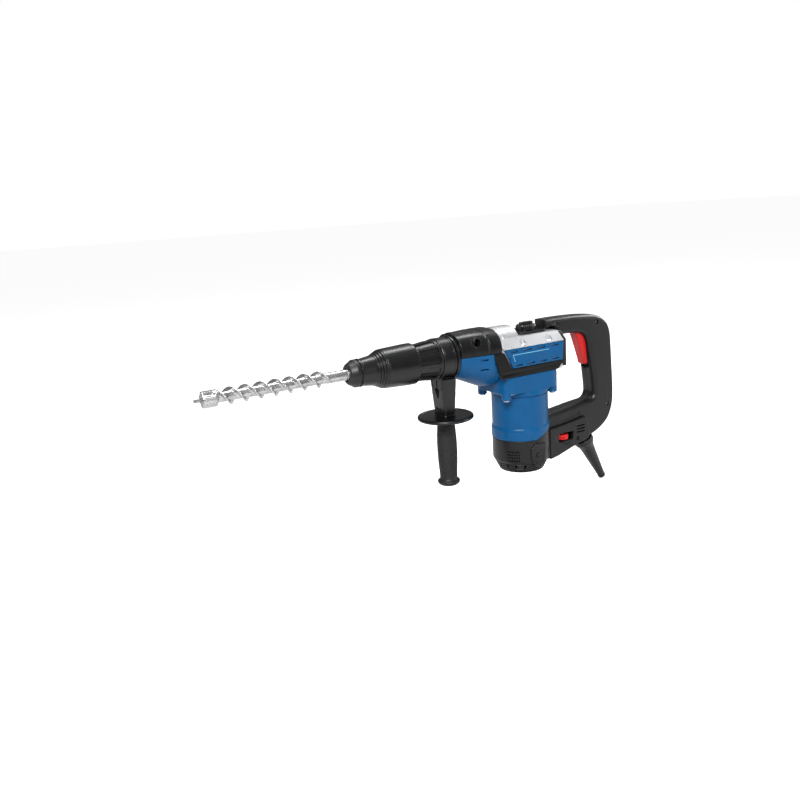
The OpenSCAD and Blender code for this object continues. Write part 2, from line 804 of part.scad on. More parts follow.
// Outer outline of the D-handle in X and Z
handle_outer = [[40, 3], [62, 6.5], [91, 15], [111, 20.5], [150, 30], [172, 42], [186, 58], [192, 78], [193, 100],
  [190, 150], [188, 185], [184, 208], [174, 224], [156, 233], [125, 237], [77, 238.8], [44, 238.6]];
// Hand opening and front edge of the D-handle
handle_inner = [[44, 223.2], [63.6, 223.2], [63.6, 211], [72, 209.2], [108, 209.5], [126, 204], [134, 190],
  [137, 168], [142, 148], [145, 123], [146.5, 104], [142, 93], [130, 90], [111, 89], [91, 87], [71, 84.5], [40, 82.5]];

module handle_outline() {
  polygon(concat(handle_outer, handle_inner));
}

// One half of the handle: full outline near the joint plane, inset outline on the outside
module handle_half_solid(s) {
  y1 = handle_half;
  slab_y(min(0, s * (y1 - 5)) + (s > 0 ? 0.05 : 0), max(0, s * (y1 - 5)) - (s < 0 ? 0.05 : 0)) handle_outline();
  slab_y(min(s * (y1 - 5), s * (y1 - 2)), max(s * (y1 - 5), s * (y1 - 2))) offset(delta = -2) handle_outline();
  slab_y(min(s * (y1 - 2), s * y1), max(s * (y1 - 2), s * y1)) offset(delta = -5) handle_outline();
  // Wider cheek around the electronics
  slab_y(min(s * (y1 - 3), s * (arm_half - 1.5)), max(s * (y1 - 3), s * (arm_half - 1.5)))
    polygon([[40, 6], [62, 9.5], [91, 18], [111, 23.5], [128, 28], [124, 66], [91, 62], [71, 60], [40, 58]]);
  slab_y(min(s * (arm_half - 1.6), s * arm_half), max(s * (arm_half - 1.6), s * arm_half))
    polygon([[40, 9], [62, 12.5], [91, 21], [111, 26.5], [124, 31], [121, 62], [91, 58], [71, 56], [40, 54]]);
}

module handle_hollows() {
  // Room for the motor, the gearbox, the soft grip, the switch, the trigger and the electronics
  post(0, 0, -5, 120, motor_r + 1.9);
  soft_grip_solid(gap);
  block([138, -10.4, 150], [180, 10.4, 203.4]);
  slab_y(-9.6, 9.6) polygon([[100, 196], [100, 214], [120, 217], [142, 211], [142, 148], [128, 148]]);
  block([62, -15, 26], [118, 15, 72]);
  translate(wheel_c + [0, 0, -4.4]) cylinder(h = 8.8, r = wheel_r + 0.5);
  translate(wheel_c + [0, 0, -6]) cylinder(h = 12, r = 2.5);
  translate(wheel_c + [-11, -12, -4.4]) cube([22, 12, 8.8]);
  boot_place() cylinder(h = 14, r = 14.3);
  boot_place() translate([0, 0, -8]) cylinder(h = 8.01, r = 17.6);
  // Vent slots beside the electronics on both cheeks
  for (s = [-1, 1], i = [0 : 2])
    block([100, s * 18 - 5, 40 + 5.4 * i], [119, s * 18 + 5, 42.6 + 5.4 * i]);
}

// Moulded half of the trigger's pivot pin
module pivot_stub(y0, y1) {
  translate([133, y1, 206]) rotate([90, 0, 0]) cylinder(h = y1 - y0, r = 2);
}

module handle_left_shell() {
  color(GREY) {
    difference() {
      handle_half_solid(-1);
      handle_hollows();
    }
    pivot_stub(-9.7, -0.1);
  }
}

module handle_right_shell() {
  color(GREY) {
    difference() {
      handle_half_solid(1);
      handle_hollows();
    }
    pivot_stub(0.1, 9.7);
  }
}

// Rear strip of soft material over the grip, grown by g
module soft_grip_solid(g) {
  slab_y(-10.5 - g, 10.5 + g) intersection() {
    difference() {
      handle_outline();
      offset(delta = -4 - g) handle_outline();
    }
    translate([155 - g, 62 - g]) square([60, 154 + 2 * g]);
  }
}

module handle_soft_grip() {
  color([0.12, 0.12, 0.13]) soft_grip_solid(0);
}

module trigger() {
  // Curved paddle on a cross pin
  color(RED) difference() {
    slab_y(-9, 9) polygon([[113, 208.5], [118, 197], [125, 178], [130.5, 160], [132.5, 152.5], [136.4, 151],
      [139.6, 153.5], [138.6, 168], [137, 184], [136.9, 206], [133, 210.5], [122, 212]]);
    translate([133, 0, 206]) rotate([90, 0, 0]) cylinder(h = 20, r = 2 + run, center = true);
  }
}

module switch_module() {
  color([0.25, 0.25, 0.27]) {
    block([146, -10, 152], [170, 10, 200]);
    block([143.8, -4, 170], [146.01, 4, 182]);
  }
}

module electronics_module() {
  color([0.1, 0.3, 0.15]) block([92, -14, 30], [117, 14, 70]);
}

wheel_c = [75, -15, 39];
wheel_r = 10;

module speed_wheel() {
  color(RED) difference() {
    union() {
      translate(wheel_c + [0, 0, -4]) cylinder(h = 8, r = wheel_r);
      translate(wheel_c + [0, 0, -5.6]) cylinder(h = 11.2, r = 2.4);
    }
    for (i = [0 : 17]) translate(wheel_c) rotate(i * 20) translate([wheel_r, 0, -5]) cylinder(h = 10, r = 0.7);
  }
}

boot_tilt = 29.4;
boot_len = 91.8;

// Frame of the cord boot: Z runs from the boot's free end into the handle
module boot_place() {
  translate([133, 0, 22]) rotate([0, -boot_tilt, 0]) children();
}

module cord_boot() {
  // Rubber bend protection with a flange held in the handle and a bore for the cord
  color(BLACK) boot_place() difference() {
    union() {
      translate([0, 0, -boot_len]) cylinder(h = boot_len - 22, r1 = 6.3, r2 = 12);
      translate([0, 0, -22 - eps]) cylinder(h = 14, r1 = 12, r2 = 17);
      translate([0, 0, -8 - eps]) cylinder(h = 8 + 2 * eps, r = 17.2);
      cylinder(h = 12, r = 14);
    }
    translate([0, 0, -boot_len - 1]) cylinder(h = boot_len + 20, r = 4.7);
  }
}

// ---------- side handle ----------

module clamp_band() {
  color(BLACK) difference() {
    union() {
      tube_x(-159.6, -136.4, 31.9, 28.3 + run);
      difference() {
        block([-156, -15, axis_z - 46], [-136.6, 15, axis_z - 26]);
        rod_x(-170, -120, 30);
      }
    }
    // Split below the neck
    block([-170, -1.5, axis_z - 50], [-120, 1.5, axis_z - 20]);
    post(-side_x, 0, 150, 190, 4.3);
  }
}

module handle_bracket() {
  color(BLACK) difference() {
    hull() {
      translate([-side_x - 0.8, 0, axis_z - 30]) linear_extrude(1) round_rect([0, 0], [24, 40], 4, $fn = 24);
      translate([-side_x - 0.8, 0, axis_z - 60]) linear_extrude(1) round_rect([0, 0], [22.5, 35], 4, $fn = 24);
    }
    rod_x(-170, -136.7, 32.2);
    rod_x(-136.7 - eps, -120, 33.6);
    block([-156.3, -15.3, axis_z - 46.3], [-136.3, 15.3, axis_z - 20]);
    post(-side_x, 0, 100, 190, 4.3);
  }
  color(BLACK) difference() {
    hull() {
      translate([-side_x - 0.8, 0, axis_z - 59.5]) linear_extrude(0.5) round_rect([0, 0], [22.5, 35], 4, $fn = 24);
      translate([-side_x, 0, guard_z + 3.2]) linear_extrude(3) round_rect([0, 0], [19, 30], 4, $fn = 24);
    }
    post(-side_x, 0, 100, 190, 4.3);
    // Finger recess in the front face
    block([-160, -7, 124], [-151.8, 7, 127.5]);
  }
}

module clamp_bolt() {
  color(STEEL) {
    post(-side_x, 0, 60, axis_z - 47.5, 4);
    post(-side_x, 0, axis_z - 47.5 - eps, axis_z - 43, 4.2);
  }
}

rim_r = 3.2;

module hand_guard() {
  // Disc with a rolled rim
  color(BLACK) translate([-side_x, 0, guard_z])
    rotate_extrude() polygon(concat([[14, -0.5], [4.3, -0.5], [4.3, 3], [14, 3]],
      [for (a = [150 : -20 : -150]) [guard_r - rim_r + rim_r * cos(a), -0.4 + rim_r * sin(a)]]));
}

module side_grip() {
  // Grip with a slight swell, a flange at its end and a dome below
  color(BLACK) difference() {
    translate([-side_x, 0, 0]) rotate_extrude() polygon([[0, 1], [8, 1.5], [14, 3.5], [17.2, 6.2], [17.6, 8.6],
      [16, 10.6], [14.8, 13], [14.7, 30], [grip_r, 60], [13.3, 92], [13.3, 107], [12, 111.2], [0, 111.2]]);
    post(-side_x, 0, 58, 120, 4 + run);
  }
}

drill_bit();
carbide_tips();
tool_holder();
upper_locking_bar();
lower_locking_bar();
dust_cap();
sleeve_spring();
hammer_tube();
ring_gear();
locking_sleeve();
impact_bolt();
striker();
piston();
piston_seal();
wrist_pin();
con_rod();
crank_pin();
crank_gear();
shaft_bearings();
pinion_shaft();
intermediate_gear();
armature_shaft();
armature_core();
commutator();
cooling_fan();
stator_core();
field_coils();
brush_holders();
carbon_brushes();
gearbox_housing();
front_cover();
nose_shell();
motor_housing();
bearing_plate();
left_side_panel();
right_side_panel();
left_trim_band();
right_trim_band();
neck_sleeve();
neck_bearing();
motor_end_cap();
brush_covers();
rear_plate();
rear_plug();
selector_plate();
housing_screws();
mode_selector();
handle_left_shell();
handle_right_shell();
handle_soft_grip();
trigger();
switch_module();
electronics_module();
speed_wheel();
cord_boot();
clamp_band();
handle_bracket();
clamp_bolt();
hand_guard();
side_grip();
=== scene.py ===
import json
import math

import bmesh
import bpy
from mathutils import Matrix, Vector


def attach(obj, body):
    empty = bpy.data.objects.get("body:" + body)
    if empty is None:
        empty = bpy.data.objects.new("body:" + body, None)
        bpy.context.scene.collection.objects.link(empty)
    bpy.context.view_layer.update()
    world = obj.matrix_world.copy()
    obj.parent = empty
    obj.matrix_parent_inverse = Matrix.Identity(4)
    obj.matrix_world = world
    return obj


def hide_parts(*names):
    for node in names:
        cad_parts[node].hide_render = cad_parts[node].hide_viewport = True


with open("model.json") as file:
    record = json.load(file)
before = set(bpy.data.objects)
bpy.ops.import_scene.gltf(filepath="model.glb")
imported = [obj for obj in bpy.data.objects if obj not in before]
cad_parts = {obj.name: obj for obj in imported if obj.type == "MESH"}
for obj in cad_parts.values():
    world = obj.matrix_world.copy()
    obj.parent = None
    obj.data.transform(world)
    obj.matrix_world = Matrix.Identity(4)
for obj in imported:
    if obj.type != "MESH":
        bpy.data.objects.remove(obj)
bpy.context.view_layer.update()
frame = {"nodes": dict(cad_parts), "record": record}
# The hammer is described in millimetres in the CAD frame and scaled to metres by MM
MM = 0.001
RAD = math.radians
# Height of the bit and spindle axis, and X of the side handle's clamp bolt
AXIS_Z = 203.0
BOLT_X = -143.4
# X and Y of the speed wheel's axis
WHEEL = (75, -15)
# X and Y of the upright screws under the motor flange and in the gearbox top
FLANGE_SCREWS = ((-50, -32), (-50, 32), (40, -34), (40, 34))
TOP_SCREWS = ((-20, -38.5), (31, -38.5), (-20, 38.5), (31, 38.5))
# X and Z of the screws across the D-handle; the third one holds the cheek as well
CHEEK_SCREW = (104.0, 31.5)
HANDLE_SCREWS = ((66.0, 229.5), (176.0, 78.0), CHEEK_SCREW, (153.0, 222.0))


# ---------------------------------------------------------------- materials

def nodes_of(name):
    material = bpy.data.materials.new(name)
    material.use_nodes = True
    tree = material.node_tree
    shader = tree.nodes["Principled BSDF"]
    return material, tree, shader


def noise_node(tree, scale, detail=3.0, rough=0.6, stretch=(1, 1, 1)):
    coords = tree.nodes.new("ShaderNodeTexCoord")
    mapping = tree.nodes.new("ShaderNodeMapping")
    mapping.inputs["Scale"].default_value = stretch
    tex = tree.nodes.new("ShaderNodeTexNoise")
    tex.inputs["Scale"].default_value = scale
    tex.inputs["Detail"].default_value = detail
    tex.inputs["Roughness"].default_value = rough
    tree.links.new(coords.outputs["Object"], mapping.inputs["Vector"])
    tree.links.new(mapping.outputs["Vector"], tex.inputs["Vector"])
    return tex


def ranged(tree, value, low, high, lo_in=0.3, hi_in=0.7):
    ramp = tree.nodes.new("ShaderNodeMapRange")
    ramp.inputs["From Min"].default_value = lo_in
    ramp.inputs["From Max"].default_value = hi_in
    ramp.inputs["To Min"].default_value = low
    ramp.inputs["To Max"].default_value = high
    tree.links.new(value, ramp.inputs["Value"])
    return ramp.outputs["Result"]


def mixed(tree, factor, a, b):
    mix = tree.nodes.new("ShaderNodeMix")
    mix.data_type = "RGBA"
    tree.links.new(factor, mix.inputs["Factor"])
    for key, value in (("A", a), ("B", b)):
        socket = [s for s in mix.inputs if s.name == key and s.type == "RGBA"][0]
        if isinstance(value, (tuple, list)):
            socket.default_value = (*value, 1.0)
        else:
            tree.links.new(value, socket)
    return [s for s in mix.outputs if s.type == "RGBA"][0]


def edge_mask(tree):
    geometry = tree.nodes.new("ShaderNodeNewGeometry")
    return ranged(tree, geometry.outputs["Pointiness"], 0.0, 1.0, 0.53, 0.62)


def surface(name, colour, rough, metallic=0.0, tint=0.12, grain=2600.0, grain_height=0.02,
            wear=None, wear_amount=0.5,
            spread=0.06, stretch=(1, 1, 1), blotch=28.0, round_mm=0.0, specular=0.5):
    """Moulded or machined surface: slow colour drift, fine grain in bump and gloss, rubbed edges."""
    material, tree, shader = nodes_of(name)
    shader.inputs["Metallic"].default_value = metallic
    shader.inputs["Specular IOR Level"].default_value = specular
    slow = noise_node(tree, blotch, 4.0, 0.6)
    dark = tuple(c * (1 - tint) for c in colour)
    light = tuple(min(1.0, c * (1 + tint)) for c in colour)
    base = mixed(tree, ranged(tree, slow.outputs["Fac"], 0.0, 1.0), dark, light)
    if wear is not None:
        rubbed = noise_node(tree, 260.0, 5.0, 0.7)
        spots = tree.nodes.new("ShaderNodeMath")
        spots.operation = "MULTIPLY"
        tree.links.new(edge_mask(tree), spots.inputs[0])
        tree.links.new(ranged(tree, rubbed.outputs["Fac"], 0.0, wear_amount, 0.4, 0.65),
                       spots.inputs[1])
        base = mixed(tree, spots.outputs["Value"], base, wear)
    tree.links.new(base, shader.inputs["Base Color"])
    fine = noise_node(tree, grain, 2.0, 0.5, stretch)
    patch = noise_node(tree, 55.0, 4.0, 0.65)
    add = tree.nodes.new("ShaderNodeMath")
    add.operation = "ADD"
    tree.links.new(ranged(tree, fine.outputs["Fac"], -spread * 0.5, spread * 0.5), add.inputs[0])
    tree.links.new(ranged(tree, patch.outputs["Fac"], rough - spread, rough + spread),
                   add.inputs[1])
    tree.links.new(add.outputs["Value"], shader.inputs["Roughness"])
    bump = tree.nodes.new("ShaderNodeBump")
    bump.inputs["Distance"].default_value = grain_height * MM
    bump.inputs["Strength"].default_value = 0.9
    tree.links.new(fine.outputs["Fac"], bump.inputs["Height"])
    if round_mm:
        bevel = tree.nodes.new("ShaderNodeBevel")
        bevel.samples = 3
        bevel.inputs["Radius"].default_value = round_mm * MM
        tree.links.new(bevel.outputs["Normal"], bump.inputs["Normal"])
    tree.links.new(bump.outputs["Normal"], shader.inputs["Normal"])
    return material


BLUE = surface("blue_plastic", (0.0002, 0.085, 0.24), 0.36, tint=0.06, grain_height=0.014,
               wear=(0.06, 0.27, 0.5),
               wear_amount=0.2, specular=0.25, spread=0.03)
BLACK = surface("black_plastic", (0.003, 0.0032, 0.0038), 0.3, tint=0.15, grain_height=0.006,
                wear=(0.04, 0.04, 0.045), wear_amount=0.15, specular=0.5, spread=0.025)
GREY = surface("grey_plastic", (0.0055, 0.0055, 0.0062), 0.36, tint=0.1, grain_height=0.014,
               wear=(0.06, 0.06, 0.065), wear_amount=0.25, specular=0.4, spread=0.035)
SOFT = surface("soft_grip", (0.0065, 0.0065, 0.007), 0.48, tint=0.1, grain=1500.0,
               grain_height=0.05,
               wear=(0.06, 0.06, 0.062), wear_amount=0.4)
TRIM = surface("trim_plastic", (0.0025, 0.0022, 0.0021), 0.3, tint=0.15, grain_height=0.008,
               wear=(0.05, 0.045, 0.04), wear_amount=0.2, specular=0.3, spread=0.03)
RED = surface("red_plastic", (0.6, 0.003, 0.003), 0.36, tint=0.07, grain_height=0.015,
              wear=(0.75, 0.12, 0.1))
RUBBER = surface("rubber", (0.006, 0.006, 0.0065), 0.42, tint=0.15, grain=1400.0,
                 grain_height=0.04,
                 wear=(0.06, 0.06, 0.06))
ALLOY = surface("cast_alloy", (0.78, 0.79, 0.81), 0.3, metallic=0.85, tint=0.03, grain=1700.0,
                grain_height=0.016, wear=(0.9, 0.9, 0.9), wear_amount=0.15, blotch=60.0,
                spread=0.03)
STEEL = surface("bright_steel", (0.62, 0.62, 0.63), 0.3, metallic=1.0, tint=0.12, grain=900.0,
                grain_height=0.012,
                wear=(0.85, 0.85, 0.85), stretch=(0.08, 1, 1), blotch=70.0)
BIT = surface("bit_steel", (0.56, 0.56, 0.565), 0.27, metallic=0.95, tint=0.2, grain=1300.0,
              grain_height=0.03,
              wear=(0.9, 0.9, 0.9), wear_amount=0.8, blotch=110.0)
DARK_STEEL = surface("dark_steel", (0.2, 0.2, 0.21), 0.38, metallic=1.0, tint=0.15, grain=1200.0,
                     grain_height=0.02,
                     wear=(0.5, 0.5, 0.5))
CARBIDE = surface("carbide", (0.3, 0.3, 0.31), 0.4, metallic=0.9, tint=0.15, grain=2200.0,
                  grain_height=0.03,
                  wear=(0.6, 0.6, 0.6), round_mm=0.3)
COPPER = surface("copper", (0.6, 0.27, 0.13), 0.35, metallic=1.0, tint=0.2, grain=900.0,
                 grain_height=0.05,
                 wear=(0.8, 0.45, 0.3))
CARBON = surface("carbon", (0.03, 0.03, 0.03), 0.6, tint=0.2, grain=2500.0, grain_height=0.03,
                 wear=(0.1, 0.1, 0.1))
CIRCUIT = surface("circuit", (0.02, 0.11, 0.04), 0.45, tint=0.2, grain=1800.0, grain_height=0.03,
                  wear=(0.1, 0.25, 0.12))
# Pale blue used only for the painted highlight line on the side panels
PAINTED_HIGHLIGHT = surface("painted_highlight_line", (0.25, 0.62, 0.8), 0.35, tint=0.05, grain_height=0.01)

CAD_LOOK = {
    "blue_plastic": BLUE, "black_plastic": BLACK, "grey_plastic": GREY, "soft_grip": SOFT,
            "trim_plastic": TRIM,
    "red_plastic": RED, "rubber": RUBBER, "aluminium": ALLOY, "bright_steel": STEEL,
            "dark_steel": DARK_STEEL,
    "carbide": CARBIDE, "copper": COPPER, "carbon": CARBON, "circuit": CIRCUIT,
}
SLOT_OF = {s["node"]: s["material_slot"] for s in frame["record"]["subparts"]}
BODY_OF = {n: b for b, ns in frame["record"]["behaviour"]["bodies"].items() for n in ns}
for node_name, node_object in frame["nodes"].items():
    node_object.data.materials.clear()
    node_object.data.materials.append(CAD_LOOK[SLOT_OF[node_name]])


# ---------------------------------------------------------------- mesh helpers

def settle(obj, angle=34.0):
    mesh = obj.data
    for polygon in mesh.polygons:
        polygon.use_smooth = True
    mesh.set_sharp_from_angle(angle=RAD(angle))
    if not obj.modifiers.get("weighted"):
        weighted = obj.modifiers.new("weighted", "WEIGHTED_NORMAL")
        weighted.keep_sharp = True
        weighted.weight = 60


def build(name, verts, faces, angle=34.0):
    mesh = bpy.data.meshes.new(name)
    mesh.from_pydata([(x * MM, y * MM, z * MM) for x, y, z in verts], [], faces)
    work = bmesh.new()
    work.from_mesh(mesh)
    bmesh.ops.remove_doubles(work, verts=work.verts, dist=2e-6)
    bmesh.ops.dissolve_degenerate(work, edges=work.edges, dist=1e-7)
    large = [f for f in work.faces if len(f.verts) > 4]
    if large:
        bmesh.ops.triangulate(work, faces=large, ngon_method="EAR_CLIP")
    bmesh.ops.recalc_face_normals(work, faces=work.faces)
    if work.calc_volume(signed=True) < 0:
        bmesh.ops.reverse_faces(work, faces=work.faces)
    work.to_mesh(mesh)
    work.free()
    obj = bpy.data.objects.new(name, mesh)
    bpy.context.scene.collection.objects.link(obj)
    settle(obj, angle)
    return obj


def finish_piece(obj, material, node, slot=None, replaces=None):
    obj.data.materials.clear()
    obj.data.materials.append(material)
    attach(obj, BODY_OF[node])
    slot or SLOT_OF[node]
    if replaces is None:
        replaces = [node]
    if replaces:
        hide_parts(*replaces)
    return obj


def rounded(points, seg=5, closed=True):
    """Polyline (a, b, radius) with its corners rounded."""
    out = []
    count = len(points)
    for i, (a, b, r) in enumerate(points):
        here = Vector((a, b))
        if r <= 0 or (not closed and i in (0, count - 1)):
            out.append((a, b))
            continue
        before = Vector(points[i - 1][:2])
        after = Vector(points[(i + 1) % count][:2])
        u, v = (before - here), (after - here)
        lu, lv = u.length, v.length
        if lu < 1e-6 or lv < 1e-6:
            out.append((a, b))
            continue
        u.normalize()
        v.normalize()
        angle = u.angle(v, 0)
        if angle > RAD(176):
            out.append((a, b))
            continue
        t = min(r / math.tan(angle / 2), lu * 0.48, lv * 0.48)
        real = t * math.tan(angle / 2)
        centre = here + (u + v).normalized() * (real / math.sin(angle / 2))
        p0, p1 = here + u * t - centre, here + v * t - centre
        turn = math.atan2(p0.x * p1.y - p0.y * p1.x, p0.dot(p1))
        for k in range(seg + 1):
            s = turn * k / seg
            out.append((centre.x + p0.x * math.cos(s) - p0.y * math.sin(s),
                        centre.y + p0.x * math.sin(s) + p0.y * math.cos(s)))
    return out


def dense(points, step):
    """Closed polyline resampled so that no edge is longer than step."""
    out = []
    for i, p in enumerate(points):
        q = points[(i + 1) % len(points)]
        n = max(1, int(math.ceil(math.dist(p, q) / step)))
        for k in range(n):
            out.append((p[0] + (q[0] - p[0]) * k / n, p[1] + (q[1] - p[1]) * k / n))
    return out


def tube_faces(rings, n, closed=False):
    """Quads between rings of n points each; closed joins the last ring to the first."""
    faces = []
    for i in range(rings if closed else rings - 1):
        k = (i + 1) % rings
        for j in range(n):
            m = (j + 1) % n
            faces.append((i * n + j, i * n + m, k * n + m, k * n + j))
    return faces


def end_faces(rings, n):
    """Flat ends of a tube of rings with n points each."""
    last = (rings - 1) * n
    return [tuple(range(n - 1, -1, -1)), tuple(range(last, last + n))]


def lathe(name, profile, axis="x", centre=(0, 0), segments=128, warp=None, closed=True,
          angle=34.0):
    """Surface of revolution from (along, radius) points; warp may move each of them."""
    verts = []
    for along, radius in profile:
        for j in range(segments):
            theta = 2 * math.pi * j / segments
            a, r = warp(along, radius, theta) if warp else (along, radius)
            if axis == "x":
                verts.append((a, r * math.sin(theta), AXIS_Z - r * math.cos(theta)))
            else:
                verts.append((centre[0] + r * math.cos(theta), centre[1] + r * math.sin(theta), a))
    return build(name, verts, tube_faces(len(profile), segments, closed), angle)


def crossing(p, u, q, v):
    """Where the line p + t u meets the line q + t v, or None when they run alike."""
    det = u.x * v.y - u.y * v.x
    if abs(det) < 1e-6:
        return None
    return p + u * (((q.x - p.x) * v.y - (q.y - p.y) * v.x) / det)


def inset(outline, d):
    """Closed outline moved inwards by d; corners tighter than d close to a point."""
    pts = [Vector(p[:2]) for p in outline]
    n = len(pts)
    area = sum(p.x * q.y - q.x * p.y for p, q in zip(pts, pts[1:] + pts[:1]))
    sign = 1 if area > 0 else -1
    out = []
    for i in range(n):
        e0, e1 = (pts[i] - pts[i - 1]).normalized(), (pts[(i + 1) % n] - pts[i]).normalized()
        n0, n1 = Vector((-e0.y, e0.x)) * sign, Vector((-e1.y, e1.x)) * sign
        bis = (n0 + n1) if (n0 + n1).length > 1e-6 else n0
        bis.normalize()
        out.append(pts[i] + bis * (d / max(0.5, bis.dot(n0))))
    flipped = [(out[(i + 1) % n] - out[i]).dot(pts[(i + 1) % n] - pts[i]) <= 0 for i in range(n)]
    if any(flipped) and not all(flipped):
        start = next(i for i in range(n) if not flipped[i] and flipped[(i + 1) % n])
        i = start
        while i < start + n:
            if flipped[(i + 1) % n]:
                k = i + 1
                while flipped[k % n]:
                    k += 1
                a, b = i % n, k % n
                u = pts[(a + 1) % n] - pts[a]
                v = pts[(b + 1) % n] - pts[b]
                meet = crossing(out[a], u, out[(b + 1) % n], v)
                group = [m % n for m in range(i + 1, k + 1)]
                mean = sum((out[m] for m in group), Vector((0, 0))) / len(group)
                if meet is None or (meet - mean).length > 2 * d:
                    meet = mean
                for m in group:
                    out[m] = meet
                i = k
            else:
                i += 1
    return [(p.x, p.y) for p in out]


def insets(outline, distances):
    """Insets by growing distances, each made from the one before so that tight corners close cleanly."""
    rings, current, done = {}, list(outline), 0.0
    for d in sorted(set(distances)):
        steps = max(1, int(math.ceil((d - done) / 0.5)))
        for _ in range(steps if d > done else 0):
            unique, index = [], []
            for p in current:
                if not unique or math.dist(p, unique[-1]) > 1e-5:
                    unique.append(p)
                index.append(len(unique) - 1)
            if len(unique) > 3 and math.dist(unique[0], unique[-1]) < 1e-5:
                unique.pop()
                index = [k % len(unique) for k in index]
            moved = inset(unique, (d - done) / steps)
            current = [moved[k] for k in index]
        done = d
        rings[d] = current
    return rings


PLANES = {
    "xz": lambda u, v, s: (u, s, v),
    "yz": lambda u, v, s: (s, u, v),
    "xy": lambda u, v, s: (u, v, s),
}


def slab(name, outline, s0, s1, e0=1.0, e1=1.0, plane="xz", steps=5, place=None, angle=34.0):
    """Outline extruded from s0 to s1 with rounded edges of radius e0 and e1."""
    turns = [math.pi / 2 * k / steps for k in range(steps + 1)]
    low = [(s0 + e0 * (1 - math.cos(t)), e0 * (1 - math.sin(t))) for t in turns]
    high = [(s1 - e1 * (1 - math.sin(t)), e1 * (1 - math.cos(t))) for t in turns]
    levels = low + high
    to_space = PLANES[plane]
    verts = []
    n = len(outline)
    rings = insets(outline, [max(0.0, round(d, 6)) for s, d in levels])
    for s, d in levels:
        for u, v in rings[max(0.0, round(d, 6))]:
            p = to_space(u, v, s)
            verts.append(place(p) if place else p)
    faces = tube_faces(len(levels), n) + end_faces(len(levels), n)
    return build(name, verts, faces, angle)


def loft(name, rings, cap_ends=True, angle=34.0):
    """Skin through rings that all have the same number of points."""
    verts = [p for ring in rings for p in ring]
    n = len(rings[0])
    faces = tube_faces(len(rings), n)
    if cap_ends:
        faces += end_faces(len(rings), n)
    return build(name, verts, faces, angle)


def box_mesh(lo, hi, turn=None):
    """Block between two corners as (verts, faces), turned about the motor axis if asked."""
    corners = [(x, y, z) for x in (lo[0], hi[0]) for y in (lo[1], hi[1]) for z in (lo[2], hi[2])]
    if turn is not None:
        spin = Matrix.Rotation(RAD(turn), 3, "Z")
        corners = [tuple(spin @ Vector(c)) for c in corners]
    quads = [(0, 1, 3, 2), (4, 6, 7, 5), (0, 4, 5, 1), (2, 3, 7, 6), (0, 2, 6, 4), (1, 5, 7, 3)]
    return corners, quads


def many(name, parts):
    """One object from several (verts, faces) lumps."""
    verts, faces = [], []
    for v, f in parts:
        base = len(verts)
        verts += v
        faces += [tuple(base + k for k in face) for face in f]
    return build(name, verts, faces)


def rod(p0, p1, r0, r1=None, n=32):
    """Closed cylinder or cone between two points as (verts, faces)."""
    r1 = r0 if r1 is None else r1
    a, b = Vector(p0), Vector(p1)
    d = (b - a).normalized()
    side = d.orthogonal().normalized()
    other = d.cross(side)
    verts = []
    for c, r in ((a, r0), (b, r1)):
        for k in range(n):
            t = 2 * math.pi * k / n
            verts.append(tuple(c + side * (r * math.cos(t)) + other * (r * math.sin(t))))
    faces = [(k, (k + 1) % n, n + (k + 1) % n, n + k) for k in range(n)]
    faces += [tuple(range(n - 1, -1, -1)), tuple(range(n, 2 * n))]
    return verts, faces


def combine(obj, cutter, operation="DIFFERENCE", angle=34.0):
    """Cuts the second mesh from the first, or joins it to it."""
    for modifier in list(obj.modifiers):
        obj.modifiers.remove(modifier)
    mod = obj.modifiers.new("cut", "BOOLEAN")
    mod.operation = operation
    mod.solver = "EXACT"
    mod.object = cutter
    graph = bpy.context.evaluated_depsgraph_get()
    graph.update()
    result = bpy.data.meshes.new_from_object(obj.evaluated_get(graph))
    obj.modifiers.remove(mod)
    old = obj.data
    obj.data = result
    result.name = obj.name
    bpy.data.meshes.remove(old)
    bpy.data.objects.remove(cutter)
    settle(obj, angle)
    return obj


def bevelled(obj, width, segments=3, limit=30.0, angle=34.0):
    """Rounds the sharp edges of a mesh."""
    for modifier in list(obj.modifiers):
        obj.modifiers.remove(modifier)
    mod = obj.modifiers.new("round", "BEVEL")
    mod.width = width * MM
    mod.segments = segments
    mod.limit_method = "ANGLE"
    mod.angle_limit = RAD(limit)
    mod.use_clamp_overlap = True
    mod.miter_outer = "MITER_ARC"
    graph = bpy.context.evaluated_depsgraph_get()
    result = bpy.data.meshes.new_from_object(obj.evaluated_get(graph))
    obj.modifiers.remove(mod)
    obj.data = result
    settle(obj, angle)
    return obj


def refined(node, name, width=0.8, limit=28.0):
    """Copy of a CAD node with welded faces and rounded edges."""
    source = frame["nodes"][node]
    mesh = source.data.copy()
    work = bmesh.new()
    work.from_mesh(mesh)
    bmesh.ops.remove_doubles(work, verts=work.verts, dist=3e-6)
    bmesh.ops.dissolve_limit(work, angle_limit=RAD(1.0), verts=work.verts, edges=work.edges)
    bmesh.ops.recalc_face_normals(work, faces=work.faces)
    work.to_mesh(mesh)
    work.free()
    if "sharp_edge" in mesh.attributes:
        mesh.attributes.remove(mesh.attributes["sharp_edge"])
    obj = bpy.data.objects.new(name, mesh)
    bpy.context.scene.collection.objects.link(obj)
    bevelled(obj, width, 3, limit)
    return obj


# ---------------------------------------------------------------- tool bit

def smooth_step(a, b, x):
    t = min(1.0, max(0.0, (x - a) / (b - a)))
    return t * t * (3 - 2 * t)


BIT_PITCH, BIT_CORE, BIT_NECK, BIT_HEAD = 42.0, 6.9, 7.8, 11.3
HEAD_END, FLUTE_END = -491.5, -331


